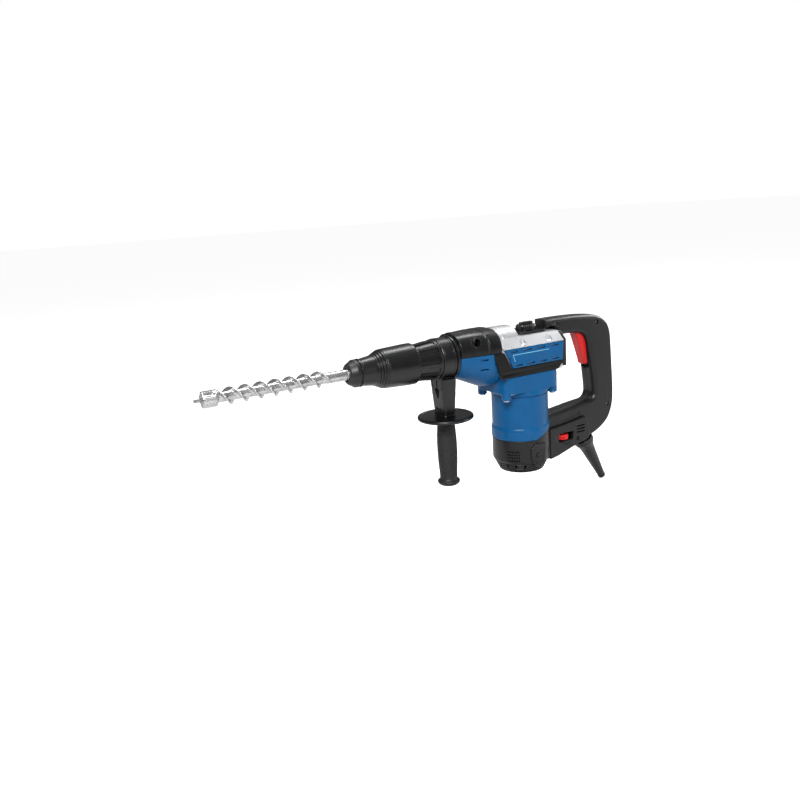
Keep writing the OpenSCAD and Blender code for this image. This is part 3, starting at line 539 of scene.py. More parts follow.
def bit_radius(x, theta):
    """Radius of the bit body: head, two spiral lands on a core, neck and shank."""
    turn = (theta - 2 * math.pi * (x + 494.5) / BIT_PITCH) % math.pi
    land_arc = min(turn, math.pi - turn) * 11.5
    land = 11.9 - 0.35 * (land_arc / 1.7) ** 2 if land_arc < 1.7 else 11.55 - (land_arc - 1.7) * 1.9
    fluted = max(BIT_CORE + 0.25 * max(0.0, 1 - (land_arc - 4.5) / 6), land)
    if x > FLUTE_END:
        return BIT_NECK
    if x > -345:
        fluted = BIT_NECK + (fluted - BIT_NECK) * smooth_step(FLUTE_END, -345, x)
    if x < HEAD_END:
        quarter = (math.degrees(theta) + 45) % 90
        quarter = min(quarter, 90 - quarter)
        arc = RAD(quarter) * 11.0
        head = min(BIT_HEAD, 9.3 + 0.25 * arc) if arc < 4.2 else BIT_HEAD
        head = head + (BIT_HEAD - head) * smooth_step(-500, -496, x)
        blend = smooth_step(-495.5, HEAD_END, x)
        return head * (1 - blend) + fluted * blend
    return fluted


def bit_grid():
    """Whole bit from its tip to the end of the shank."""
    stations = [-513.4, -513.2, -512.6, -511.5]
    x = -510.5
    while x < FLUTE_END:
        stations.append(x)
        x += 0.75
    stations += [-330.5, -320, -306, -305.5, -303, -300.6, -300, -260, -216.5, -214.8, -214.1, -214]
    segments = 112
    verts = []
    for x in stations:
        for j in range(segments):
            theta = 2 * math.pi * j / segments
            r = bit_radius(x, theta)
            if x <= -511.5:
                r *= {-513.4: 0.9, -513.2: 0.94, -512.6: 0.975, -511.5: 1.0}[x]
            if x >= -306:
                r = {-306: 7.8, -305.5: 7.85, -303: 8.4, -300.6: 8.93, -300: 9.0, -260: 9.0,
                     -216.5: 9.0,
                     -214.8: 8.1, -214.1: 7.3, -214: 7.0}[x]
            verts.append((x, r * math.sin(theta), AXIS_Z - r * math.cos(theta)))
    faces = tube_faces(len(stations), segments) + end_faces(len(stations), segments)
    return build("bit_body", verts, faces, 50.0)


bit = bit_grid()
grooves = many("bit_cut", [box_mesh((-252, -3.2, AXIS_Z + s * 8.2 - 1.5),
                                    (-216, 3.2, AXIS_Z + s * 8.2 + 1.5))
                           for s in (-1, 1)])
combine(bit, grooves, angle=50.0)
finish_piece(bit, BIT, "drill_bit")

# ---------------------------------------------------------------- chuck

cap = lathe("dust_cap_skin", rounded([
    (-304.4, 9.6, 0.5), (-304.4, 13.6, 1.2), (-302.6, 15.4, 1.0), (-297.4, 18.2, 1.5),
                                      (-294.4, 20.1, 1.0),
    (-291.0, 20.2, 0.8), (-290.2, 19.2, 0.4), (-288.45, 19.1, 0.2), (-288.45, 16.1, 0.1),
                                      (-300.8, 16.1, 0.1),
    (-301.9, 15.4, 0.1), (-301.9, 9.6, 0.2)]))
finish_piece(cap, RUBBER, "dust_cap")

ribs = []
for i in range(4):
    x0, r0 = -264.0 + 3.6 * i, 22.7 + 1.72 * i
    ribs += [(x0 - 0.2, r0 - 0.75, 0.25), (x0 + 0.35, r0 + 0.15, 0.4), (x0 + 2.2, r0 + 0.75, 0.6),
             (x0 + 2.9, r0 - 0.35, 0.3)]
sleeve_profile = [(-288.0, 19.45, 0.2), (-288.0, 20.3, 0.5), (-285.6, 20.6, 0.5),
                  (-284.9, 19.7, 0.4),
                  (-283.6, 19.6, 0.4), (-266.2, 22.0, 2.0)] + ribs + [
    (-249.6, 28.5, 0.6), (-247.6, 29.0, 1.0), (-209.5, 30.7,
                                               1.0), (-206.0, 30.8, 1.0), (-199.4, 30.8, 0.5),
    (-198.0, 29.7, 0.5), (-198.0, 28.7, 0.2), (-222.5, 28.7,
                                               0.2), (-222.5, 25.2, 0.2), (-236.0, 25.2, 0.2),
    (-236.0, 19.4, 0.2), (-238.0, 19.4, 0.1), (-260.5, 23.2, 0.05), (-262.0, 19.45, 0.1)]
sleeve = lathe("locking_sleeve_skin", rounded(sleeve_profile, 4), segments=160)
finish_piece(sleeve, BLACK, "locking_sleeve")


def neck_warp(a, r, theta):
    """Raised lengthwise panels with sunk flats between them."""
    if r > 26.5 and -203.5 < a < -161.8:
        deg = (math.degrees(theta) + 8) % 30
        arc = RAD(min(deg, 30 - deg)) * 29
        depth = 1.9 * (1 - smooth_step(4.2, 4.8, arc))
        fade = smooth_step(-203.5, -202.7, a) * (1 - smooth_step(-165.2, -164.4, a))
        return a, r - depth * fade
    return a, r


neck_profile = [(-208.0, 22.0), (-208.0, 27.0), (-207.6, 27.5), (-206.8, 27.8), (-203.5, 27.9),
                (-203.3, 27.9),
                (-203.0, 27.9), (-202.7, 27.95), (-202.0, 28.0)]
x = -200.0
while x < -165.4:
    neck_profile.append((x, 28.1 + (30.3 - 28.1) * smooth_step(-192, -166, x)))
    x += 2.0
neck_profile += [(-165.4, 30.3), (-165.1, 30.32), (-164.8, 30.34), (-164.4, 30.35), (-163.6, 30.4),
                 (-163.2, 30.9),
                 (-162.4, 31.15), (-161.3, 31.15), (-160.6, 30.9), (-160.3, 30.3), (-160.2, 28.3),
                 (-136.0, 28.3), (-136.0, 32.3), (-135.7, 32.9), (-135.0, 33.2), (-133.9, 33.2),
                 (-133.5, 32.7),
                 (-133.1, 32.7), (-132.7, 33.1), (-131.8, 33.1), (-131.3, 32.8), (-131.3, 25.1),
                 (-152.0, 25.1),
                 (-152.0, 22.0)]
neck = lathe("neck_skin", neck_profile, segments=360, warp=neck_warp, angle=30.0)
finish_piece(neck, BLACK, "neck_sleeve")

# ---------------------------------------------------------------- side handle

band = lathe("clamp_ring", rounded([
    (-159.6, 28.4, 0.3), (-159.6, 31.2, 0.7), (-158.6, 31.9, 0.5), (-157.6, 31.9, 0.4),
                                    (-157.2, 31.2, 0.3),
    (-156.4, 31.2, 0.3), (-156.0, 31.7, 0.3), (-141.6, 31.75, 0.3), (-141.2, 31.2, 0.3),
                                    (-140.5, 31.2, 0.3),
    (-140.1, 31.85, 0.4), (-137.2, 31.85, 0.6), (-136.4, 31.3, 0.4), (-136.4, 28.4, 0.3)], 4),
             segments=160)
lug = slab("clamp_lug", dense(rounded([(-156, -15, 3), (-136.7, -15, 3), (-136.7, 15, 3),
                                       (-156, 15, 3)]), 3),
           157.2, 175.0, 0.6, 0.2, plane="xy")
combine(lug, lathe("lug_cut", [(-170, 0.0), (-170, 30.0), (-120, 30.0), (-120, 0.0)], closed=False))
combine(band, lug, "UNION")
combine(band, many("split", [box_mesh((-170, -1.4, 150), (-120, 1.4, 184))]))
finish_piece(band, BLACK, "clamp_band")


def handle_section(z, wx, wy):
    """Rounded rectangle of half widths wx and wy at height z."""
    cx, r = -144.2, 3.5
    pts = [(cx - wx, -wy, r), (cx + wx, -wy, r), (cx + wx, wy, r), (cx - wx, wy, r)]
    return [(x, y, z) for x, y in dense(rounded(pts, 6), 4)]


def ring_of(pts, count=96):
    """Closed ring of points at even steps, starting at its lowest angle."""
    cx = sum(p[0] for p in pts) / len(pts)
    cy = sum(p[1] for p in pts) / len(pts)
    lengths = [0.0]
    m = len(pts)
    start = min(range(m), key=lambda i: abs(math.atan2(pts[i][1] - cy,
                                                       pts[i][0] - cx) + math.pi * 0.999))
    pts = pts[start:] + pts[:start]
    for i in range(m):
        lengths.append(lengths[-1] + math.dist(pts[i], pts[(i + 1) % m]))
    total = lengths[-1]
    out, k = [], 0
    for i in range(count):
        want = total * i / count
        while lengths[k + 1] < want:
            k += 1
        t = (want - lengths[k]) / max(1e-9, lengths[k + 1] - lengths[k])
        p, q = pts[k], pts[(k + 1) % m]
        out.append(tuple(p[j] + (q[j] - p[j]) * t for j in range(3)))
    return out


stem_rings = [ring_of(handle_section(z, wx, wy)) for z, wx, wy in (
    (173.0, 12.0, 20.0), (160.0, 11.8, 19.2), (148.0, 11.4,
                                               18.0), (136.0, 10.8, 16.9), (124.0, 10.3, 15.9),
    (117.4, 10.0, 15.3), (116.2, 10.3, 15.6), (115.25, 10.6, 15.9))]
stem = loft("handle_stem", stem_rings, angle=30.0)
combine(stem, lathe("stem_cut", [(-170, 0.0), (-170, 32.2), (-136.75, 32.2), (-136.75, 33.6),
                                 (-120, 33.6),
                                 (-120, 0.0)], closed=False))
combine(stem, many("stem_pocket", [box_mesh((-156.3, -15.3, 156.9), (-136.3, 15.3, 183)),
                                   box_mesh((-160, -7.5, 124.5), (-153.0, 7.5, 127.0))]))
combine(stem, many("stem_bore", [rod((BOLT_X, 0, 100), (BOLT_X, 0, 190), 4.3, n=40)]))
# Triangular pocket at the top of the front face
wedge = build("stem_wedge", [(-158, -14, 176), (-158, 14, 176), (-158, 2, 143), (-158, -2, 143),
                             (-152.5, -14, 176), (-152.5, 14, 176), (-152.5, 2, 143),
                             (-152.5, -2, 143)],
              [(0, 1, 2, 3), (7, 6, 5, 4), (0, 4, 5, 1), (1, 5, 6, 2), (2, 6, 7, 3), (3, 7, 4, 0)])
combine(stem, wedge)
stem = bevelled(stem, 0.7, 2, 35)
finish_piece(stem, BLACK, "handle_bracket")

guard = lathe("guard_disc", [(a + 112, r) for a, r in (
    [(3.0, 4.4), (3.0, 13.5), (2.6, 14.6), (2.2, 18.0), (1.9, 28.0), (1.7, 36.0), (1.7, 38.0)]
    + [(-0.3 + 3.1 * math.sin(RAD(t)), 40.35 + 3.1 * math.cos(RAD(t))) for t in range(135, -150, -15)]
    + [(-2.0, 36.6), (-1.0, 34.0), (-0.6, 18.0), (-0.5, 4.4)])],
    axis="z", centre=(BOLT_X, 0), segments=144)
finish_piece(guard, BLACK, "hand_guard")

grip_outline = [(1.0, 0.0), (1.1, 7.0), (1.6, 10.5), (2.8, 13.8), (4.6, 16.2), (6.6, 17.4),
                (8.4, 17.5), (9.8, 16.9),
                (11.0, 15.0), (13.0, 13.7), (16.0, 13.5), (22.0, 13.8), (30.0, 14.4), (42.0, 15.1),
                (56.0, 15.5),
                (70.0, 15.5), (82.0, 15.1), (93.0, 14.3), (102.0, 13.4), (108.5, 13.0), (110.6, 12.6),
                (111.15, 11.6), (111.15, 0.0)]
grip_profile = []
for (z0, r0), (z1, r1) in zip(grip_outline, grip_outline[1:]):
    steps = max(1, int(abs(z1 - z0) / 0.55))
    for k in range(steps):
        grip_profile.append((z0 + (z1 - z0) * k / steps, r0 + (r1 - r0) * k / steps))
grip_profile.append(grip_outline[-1])


def grip_warp(z, r, theta):
    """Staggered knurl of small raised pads between two plain bands."""
    if 15.5 < z < 103.5 and r > 10:
        row = (z - 15.5) / 2.93
        cell = theta / (2 * math.pi) * 32 + (0.5 if int(row) % 2 else 0.0)
        u = abs((cell % 1) - 0.5) * 2
        v = abs((row % 1) - 0.5) * 2
        pad = (1 - smooth_step(0.62, 0.86, u)) * (1 - smooth_step(0.6, 0.84, v))
        edge = smooth_step(15.5, 16.2, z) * (1 - smooth_step(102.8, 103.5, z))
        return z, r - 0.6 * edge * (1 - pad)
    return z, r


grip = lathe("side_grip_skin", grip_profile, axis="z", centre=(BOLT_X, 0), segments=200,
             warp=grip_warp,
             closed=False, angle=50.0)
finish_piece(grip, SOFT, "side_grip")

# ---------------------------------------------------------------- gearbox front

def arch_ring(x, w, h, count=72):
    """Arch of half width w and height h above the axis, open at its flat base."""
    base, n = 204.5, 0.72
    pts = [(x, -w, base)]
    for k in range(count + 1):
        a = math.pi - math.pi * k / count
        c, s = math.cos(a), max(0.0, math.sin(a))
        pts.append((x, math.copysign(w * abs(c) ** n, c), base + (h - 1.5) * s ** n))
    pts.append((x, w, base))
    return pts


cover_rings = [(-131.0, 1.6), (-130.9, 1.1), (-130.5, 0.4), (-129.8, 0.0)]
x = -128.0
while x < -63.5:
    groove = 0.9 if abs(x + 84.0) < 0.6 else 0.0
    cover_rings.append((x, groove))
    x += 0.5 if -85.5 < x < -82.5 else 1.5
cover_rings += [(-63.4, 0.0), (-62.6, 0.25), (-62.3, 0.7)]
sections = []
for x, inward in cover_rings:
    t = smooth_step(-131, -72, x)
    w = 35.4 + 7.1 * t - inward
    h = 34.9 + 1.6 * smooth_step(-131, -95, x) - inward
    sections.append(arch_ring(x, w, h))
cover = loft("front_cover_skin", sections, angle=30.0)
pad = slab("cover_pad", dense(rounded([(-130.6, -9, 1.5), (-103, -9, 4), (-103, 9, 4),
                                       (-130.6, 9, 1.5)]), 3),
           232, 239.2, 0.1, 1.6, plane="xy")
combine(cover, pad, "UNION", 30.0)
combine(cover, many("cover_core", [rod((-116.1, 0, AXIS_Z), (-50, 0, AXIS_Z), 30.6, n=96)]),
        angle=30.0)
combine(cover, many("cover_neck", [rod((-140, 0, AXIS_Z), (-110, 0, AXIS_Z), 25.3, n=96)]),
        angle=30.0)
rims = [rod((-104.6, s * 30, 224.7), (-104.6, s * 37.7, 224.7), 7.6, n=48) for s in (-1, 1)]
combine(cover, many("cover_boss", rims), "UNION", 30.0)
holes = [rod((-104.6, s * 24, 224.7), (-104.6, s * 48, 224.7), 6.0, n=48) for s in (-1, 1)]
combine(cover, many("cover_hole", holes), angle=30.0)
finish_piece(cover, BLACK, "front_cover")


def nose_ring(x, w, h, count=64, top=203.8):
    """Hanging arch whose upper edge is flat and lies just under the cover."""
    pts = []
    for k in range(count + 1):
        a = math.pi * k / count
        c, s = math.cos(a), max(0.0, math.sin(a))
        pts.append((x, w * c, min(AXIS_Z + 1.2 - h * s ** 0.85, top)))
    return pts


nose_rings = []
for x, w, h in ((-131.0, 33.2, 32.4), (-130.8, 34.0, 33.2), (-130.2, 34.6, 33.8),
                (-129.0, 34.9, 34.2),
                (-124.0, 35.9, 36.2), (-118.0, 37.1, 38.6), (-111.0, 38.5, 41.8),
                (-104.0, 39.8, 45.0),
                (-98.0, 40.9, 47.7), (-92.0, 42.0, 50.2), (-86.0, 43.4, 53.0), (-81.5, 44.3, 54.8),
                (-74.0, 44.5, 55.0), (-66.0, 44.5, 55.0), (-62.3, 44.5, 55.0)):
    nose_rings.append(nose_ring(x, w, h))
nose = loft("nose_skin", nose_rings, angle=40.0)
cut_parts = []
for s in (-1, 1):
    cut_parts.append(box_mesh((-101, s * 45 - 6, 196.2), (-88, s * 45 + 6, 198.2)))
    cut_parts.append(box_mesh((-99, s * 43 - 9, 181.2), (-87, s * 43 + 9, 183.3)))
combine(nose, many("nose_slots", cut_parts), angle=40.0)
hollow = loft("nose_hollow", [nose_ring(x, w - 3.4, h - 3.4, top=260) for x, w, h in (
    (-133, 33.5, 32.5), (-98, 40.9, 47.7), (-81.5, 44.3, 54.8), (-60, 44.5, 55))])
combine(nose, hollow, angle=40.0)
for s in (-1, 1):
    step = slab("nose_step", [(-80.4, 212), (-68.4, 162.8), (-50, 162.8), (-50, 212)],
                min(s * 41.7, s * 60), max(s * 41.7, s * 60), 0, 0)
    combine(nose, step, angle=40.0)
finish_piece(nose, BLUE, "nose_shell")

# ---------------------------------------------------------------- trim bands and side panels

band_outline = dense(rounded([(-79.6, 203.6, 1.5), (-60.6, 203.6, 1.5), (-46.2, 176.9, 1.5),
                              (54.0, 176.9, 1.5),
                              (55.8, 175.0, 1.2), (44.4, 163.4, 2.0), (-67.6, 163.4, 1.5)], 3), 4)
panel_outline = dense(rounded([(-58.4, 207.4, 1.8), (-44.8, 177.5, 1.8), (53.3, 177.5, 1.8),
                               (55.4, 207.4, 1.8)],
                              4), 4)
for s, side in ((-1, "left"), (1, "right")):
    lo, hi = sorted((s * 41.85, s * 45.3))
    trim = slab(f"{side}_trim_skin", band_outline, lo, hi, 0.9 if s < 0 else 0.1,
                0.9 if s > 0 else 0.1)
    ridge = slab("ridge", dense(rounded([(-66.5, 172.0, 0.6), (47.5, 172.0, 0.6), (45.0, 169.2, 0.6),
                                         (-65.8, 169.2, 0.6)]), 4),
                 *sorted((s * 44.9, s * 48)), 0.0, 0.0)
    combine(trim, ridge)
    combine(trim, many("trim_bore", [rod((-112, 0, AXIS_Z), (-50, 0, AXIS_Z), 30.6)]))
    finish_piece(trim, TRIM, f"{side}_trim_band")
    lo, hi = sorted((s * 41.85, s * 45.85))
    panel = slab(f"{side}_panel_skin", panel_outline, lo, hi, 1.1 if s < 0 else 0.1,
                 1.1 if s > 0 else 0.1)
    slots = []
    for i in range(4):
        slots.append(box_mesh((-52 + i * 27, s * 45 - 3.6, 202.0),
                              (-36 + i * 27, s * 45 + 3.6, 204.1)))
        slots.append(box_mesh((-42 + i * 24, s * 45 - 3.6, 180.4),
                              (-27 + i * 24, s * 45 + 3.6, 182.5)))
    slots.append(box_mesh((-52.0, s * 45 - 3.6, 191), (-50.2, s * 45 + 3.6, 196)))
    combine(panel, many("panel_slots", slots))
    for px in (-20, 31):
        combine(panel, many("panel_screw", [rod((px, s * 38.5, 190), (px, s * 38.5, 215), 5.7)]))
    finish_piece(panel, BLUE, f"{side}_side_panel")
    # Painted highlight: thin pale line, upright and along the upper edge, standing in for light caught
    # on the panel
    line = slab(f"{side}_line", dense(rounded([(-45.5, 198.6, 0.2), (25, 198.6, 0.2),
                                               (25, 197.8, 0.2),
                                               (-44.6, 197.8, 0.2), (-40.9, 188.0, 0.2),
                                               (-41.9, 188.0, 0.2)], 2), 3),
                *sorted((s * 45.7, s * 45.95)), 0.02, 0.02)
    finish_piece(line, PAINTED_HIGHLIGHT, f"{side}_side_panel", replaces=[])

# ---------------------------------------------------------------- alloy gearbox

alloy = refined("gearbox_housing", "gearbox_skin", 1.1)
finish_piece(alloy, ALLOY, "gearbox_housing")

# ---------------------------------------------------------------- motor housing

def seam(x):
    """Height of the seam between end cap and motor housing."""
    if x < -5:
        return 55.0
    if x < 46:
        return 55.0 + (x + 5) / 51 * 17.0
    return 72.0


def motor_warp(z, r, theta):
    """Lower edge and ring follow the seam; shallow label fields on both sides."""
    if z < 79:
        lift = seam(r * math.cos(theta)) + 0.3 - 55.3
        z = z + (lift if z <= 57 else max(0.0, lift - (z - 57) * lift / 22))
    if r > 44 and 72.5 < z < 127.5:
        for lo, hi in ((240.0, 296.0), (64.0, 120.0)):
            deg = math.degrees(theta) % 360
            if lo - 0.1 < deg < hi + 0.1:
                edge = min(deg - lo, hi - deg) * 0.8
                r -= (0.55 * smooth_step(0.0, 0.5, edge) * smooth_step(72.5, 73.0, z)
                      * (1 - smooth_step(127, 127.5, z)))
    return z, r


def flange_radius(a):
    """Distance from the motor axis to the edge of the rounded rectangular flange, at angle a."""
    hx, hy, cr, cx = 56.0, 45.0, 22.0, -4.0
    c, s = math.cos(a), math.sin(a)
    lo, hi = 30.0, 90.0
    for _ in range(24):
        mid = (lo + hi) / 2
        px, py = abs(mid * c - cx), abs(mid * s)
        inside = px <= hx and py <= hy
        if inside and px > hx - cr and py > hy - cr:
            inside = math.hypot(px - hx + cr, py - hy + cr) <= cr
        lo, hi = (mid, hi) if inside else (lo, mid)
    return lo


SEG = 240
FLANGE = [flange_radius(2 * math.pi * k / SEG) for k in range(SEG)]
wall = rounded([
    (55.3, 42.8, 0.2), (55.3, 46.4, 0.8), (57.2, 47.0, 0.6), (70.5, 47.1, 1.2), (73.5, 46.6, 0.8),
                (75.2, 45.6, 0.8),
    (76.5, 45.5, 0.4), (125.9, 45.5, 0.2), (126.2, 44.9, 0.2), (127.2, 44.9, 0.2), (127.6, 45.6, 0.3),
    (128.2, 46.8, 0.4), (128.8, 47.1, 0.4), (130.2, 47.15, 0.5)], 3, closed=False)
shell_rings = []
for (a0, r0), (a1, r1) in zip(wall, wall[1:]):
    n = max(1, int(math.dist((a0, r0), (a1, r1)) / 3.0))
    shell_rings += [(a0 + (a1 - a0) * k / n, r0 + (r1 - r0) * k / n, 0.0, 0.0) for k in range(n)]
for a, t in ((130.2, 0.0), (131.2, 0.06), (132.2, 0.15), (133.2, 0.28), (134.1, 0.43), (134.9, 0.6),
             (135.6, 0.78),
             (136.2, 0.91), (136.6, 0.97)):
    shell_rings.append((a, 47.15, t, 0.0))
shell_rings += [(137.1, 47.15, 1.0, -0.1), (137.8, 47.15, 1.0, 0.0), (161.6, 47.15, 1.0, 0.0),
                (162.3, 47.15, 1.0, -0.25),
                (162.7, 47.15, 1.0, -0.9), (162.7, 43.0, 1.0, -3.6), (160.0, 43.0, 1.0, -3.9),
                (138.4, 43.0, 1.0, -3.9),
                (136.8, 43.0, 0.4, -2.0), (132.0, 42.8, 0.0, 0.0), (100.0, 42.4, 0.0, 0.0),
                (80.0, 42.4, 0.0, 0.0),
                (60.0, 42.6, 0.0, 0.0)]
rings = []
for a, r, t, grow in shell_rings:
    ring = []
    for k in range(SEG):
        theta = 2 * math.pi * k / SEG
        z, rr = motor_warp(a, r, theta)
        rr = rr + (FLANGE[k] + grow - rr) * t
        ring.append((rr * math.cos(theta), rr * math.sin(theta), z))
    rings.append(ring)
rings.append(rings[0])
barrel = loft("motor_barrel", rings, cap_ends=False, angle=32.0)
for px, py in FLANGE_SCREWS:
    boss = rod((px, py, 126.4), (px, py, 158.0), 7.3, 7.5, n=40)
    combine(barrel, many("boss", [boss]), "UNION", 32.0)
# Cooling slots at the rear and the bores of the flange screws
openings = [box_mesh((30, -1.2, 112), (60, 1.2, 124), -22 + i * 9) for i in range(6)]
openings += [rod((px, py, 120), (px, py, 131), 2.7, n=24) for px, py in FLANGE_SCREWS]
combine(barrel, many("motor_openings", openings), angle=32.0)
finish_piece(barrel, BLUE, "motor_housing")

# ---------------------------------------------------------------- motor end cap

def cap_warp(z, r, theta):
    """Upper edge follows the seam."""
    if z > 40:
        z = 40 + (z - 40) * (seam(r * math.cos(theta)) - 40) / 15.0
    return z, r


cap_profile = [(0.0, 6.9), (0.0, 34.8), (0.25, 35.7), (0.9, 36.5)]
for i in range(4):
    z0 = 2.2 + 4.0 * i
    r0 = 37.0 + 2.05 * i
    cap_profile += [(z0, r0), (z0 + 0.3, r0 - 0.9), (z0 + 1.3, r0 - 0.75), (z0 + 1.6, r0 + 0.55),
                    (z0 + 2.8, r0 + 1.3)]
cap_profile += [(18.6, 45.2), (19.8, 45.9), (21.5, 46.15), (30.0, 46.2), (40.0, 46.2), (48, 46.2),
                (54.2, 46.2),
                (54.75, 46.0), (55.0, 45.6), (55.0, 43.0), (40.0, 43.0), (20.0, 43.0), (3.6, 33.5),
                (3.6, 14.0),
                (18.0, 14.0), (18.0, 11.2), (12.0, 11.2), (12.0, 6.9)]
end_cap = lathe("end_cap_skin", cap_profile, axis="z", segments=240, warp=cap_warp, angle=32.0)
vents = []
for m in (1, -1):
    for c in range(6):
        for r in range(4):
            v, f = box_mesh((40, -1.15, 21.4 + r * 4.9), (50, 1.15, 23.9 + r * 4.9), 204.8 + c * 4.6)
            vents.append(([(x, y * m, z) for x, y, z in v], f))
    for r in range(4):
        v, f = box_mesh((40, -2.3, 21.8 + r * 4.4), (50, 2.3, 23.9 + r * 4.4), 303)
        vents.append(([(x, y * m, z) for x, y, z in v], f))
    for c in (268.0, 277.5):
        v, f = box_mesh((45.3, -1.5, 58.0), (50, 1.5, 61.0), c)
        vents.append(([(x, y * m, z) for x, y, z in v], f))
for i in range(18):
    if i % 9 != 4:
        vents.append(box_mesh((30, -1.5, 8.2), (50, 1.5, 13.8), i * 20))
combine(end_cap, many("cap_vents", vents), angle=32.0)


def on_barrel(radius, s):
    """Wraps a flat plate round the motor on side s; y is the height above the radius."""
    def place(p):
        x, y, z = p
        angle = math.pi / 2 - x / radius
        r = radius + y
        return r * math.cos(angle), s * r * math.sin(angle), z
    return place


pent = [(-13.6, 24.0, 1.5), (-8.6, 12.4, 1.5), (11.6, 12.4, 2.0), (14.6, 46.5, 1.5),
        (-5.6, 50.0, 1.5),
        (-15.2, 40.0, 1.5)]
for s in (-1, 1):
    piece = slab("cap_pocket", dense(rounded([(x * 1.035, 31 + (z - 31) * 1.025, r) for x, z,
                                              r in pent], 3), 2.5),
                 -2.0, 8.0, 0, 0, place=on_barrel(45.6, s))
    combine(end_cap, piece, angle=32.0)
finish_piece(end_cap, GREY, "motor_end_cap")
for s, side in ((-1, "left"), (1, "right")):
    plate = slab(f"{side}_brush_plate", dense(rounded(pent, 3), 2.5), -2.2, 1.55, 0.1, 0.9,
                 place=on_barrel(45.45, s))
    combine(plate, slab("plate_dip", dense(rounded([(-8.0, 17.5, 1.5), (9.6, 17.5, 1.5),
                                                    (11.6, 41.5, 1.5),
                                                   (-4.6, 44.5, 1.5), (-11.2, 37.0, 1.5),
                                                    (-10.2, 25.5, 1.5)], 3),
                                     2.5), 0.7, 4.0, 0, 0, place=on_barrel(45.45, s)))
    finish_piece(plate, GREY, "brush_covers")
    disc = slab(f"{side}_brush_screw", dense(rounded([(4 * math.cos(RAD(a)),
                                                       29 + 4 * math.sin(RAD(a)), 0)
                                                      for a in range(0, 360, 12)]), 2),
                0.5, 1.3, 0.05, 0.4, place=on_barrel(45.45, s))
    combine(disc, slab("disc_slot", [(-3.4, 28.5), (3.4, 28.5), (3.4, 29.5), (-3.4, 29.5)], 0.9, 2.4,
                       0, 0,
                       place=on_barrel(45.45, s)))
    finish_piece(disc, BLACK, "brush_covers", replaces=[])

# ---------------------------------------------------------------- top of the gearbox

plate = refined("selector_plate", "selector_plate_skin", 0.6)
finish_piece(plate, BLACK, "selector_plate")


def knob_warp(z, r, theta):
    """Twelve finger dents round the edge."""
    if r > 14:
        wave = 0.5 + 0.5 * math.cos(12 * theta)
        r -= 1.5 * (1 - smooth_step(0.15, 0.6, wave)) * smooth_step(226.4, 227.4, z)
    return z, r


knob = lathe("mode_knob", rounded([
    (226.25, 0.0, 0), (226.25, 16.0, 0.4), (227.0, 16.45, 0.5), (232.2, 16.3, 1.0),
                                   (234.0, 14.6, 0.9),
    (234.3, 13.0, 0.3), (233.6, 12.2, 0.3), (233.6, 0.0, 0)], 4, closed=False), axis="z",
             centre=(17, 0),
    segments=240, warp=knob_warp, closed=False)
bar = slab("knob_bar", dense(rounded([(4.2, -4.4, 4.3), (29.8, -4.4, 4.3), (29.8, 4.4, 4.3),
                                      (4.2, 4.4, 4.3)], 6), 2),
           232.8, 238.4, 0.1, 1.4, plane="xy")
combine(knob, bar, "UNION")
shaft = many("knob_shaft", [rod((17, 0, 214), (17, 0, 226.5), 6.0, n=48),
                            rod((20.2, 0, 210.6), (20.2, 0, 214.5), 2.4)])
combine(knob, shaft, "UNION")
finish_piece(knob, BLACK, "mode_selector")
mark = slab("knob_mark", dense(rounded([(5.6, -0.9, 0.4), (9.6, -0.9, 0.4), (9.6, 0.9, 0.4),
                                        (5.6, 0.9, 0.4)]), 2),
            238.2, 238.45, 0.05, 0.05, plane="xy")
finish_piece(mark, ALLOY, "mode_selector", slot="aluminium", replaces=[])

rear = refined("rear_plate", "rear_plate_skin", 1.0)
finish_piece(rear, BLACK, "rear_plate")
plug = refined("rear_plug", "rear_plug_skin", 0.8)
finish_piece(plug, BLACK, "rear_plug")

# ---------------------------------------------------------------- screws

def star_screw(name, x, y, z, up, length, r, head):
    """Pan-head screw with a star recess."""
    sign = 1 if up else -1
    profile = rounded([(-length, 0.0, 0), (-length, r * 0.6, 0), (-length + 1.2, r, 0), (0, r, 0),
                       (0, head, 0.25),
                       (1.7, head, 0.8), (2.7, head * 0.62, 1.2), (2.9, 0.0, 0)], 4, closed=False)
    obj = lathe(name, [(z + sign * a, rr) for a, rr in profile], axis="z", centre=(x, y), segments=48,
                closed=False)
    star = []
    for k in range(36):
        a = 2 * math.pi * k / 36
        rr = head * (0.46 + 0.09 * math.cos(6 * a))
        star.append((x + rr * math.cos(a), y + rr * math.sin(a)))
    lo, hi = sorted((z + sign * 1.2, z + sign * 5))
    combine(obj, slab("star", star, lo, hi, 0, 0, plane="xy"))
    return obj


for i, (px, py) in enumerate(TOP_SCREWS):
    finish_piece(star_screw(f"top_screw_{i}", px, py, 208.7, True, 10, 2.0, 4.6), STEEL,
                 "housing_screws")
for i, (px, py) in enumerate(FLANGE_SCREWS):
    finish_piece(star_screw(f"flange_screw_{i}", px, py, 126.0, False, 30, 2.5, 5.0), STEEL,
                 "housing_screws")

# ---------------------------------------------------------------- D-handle

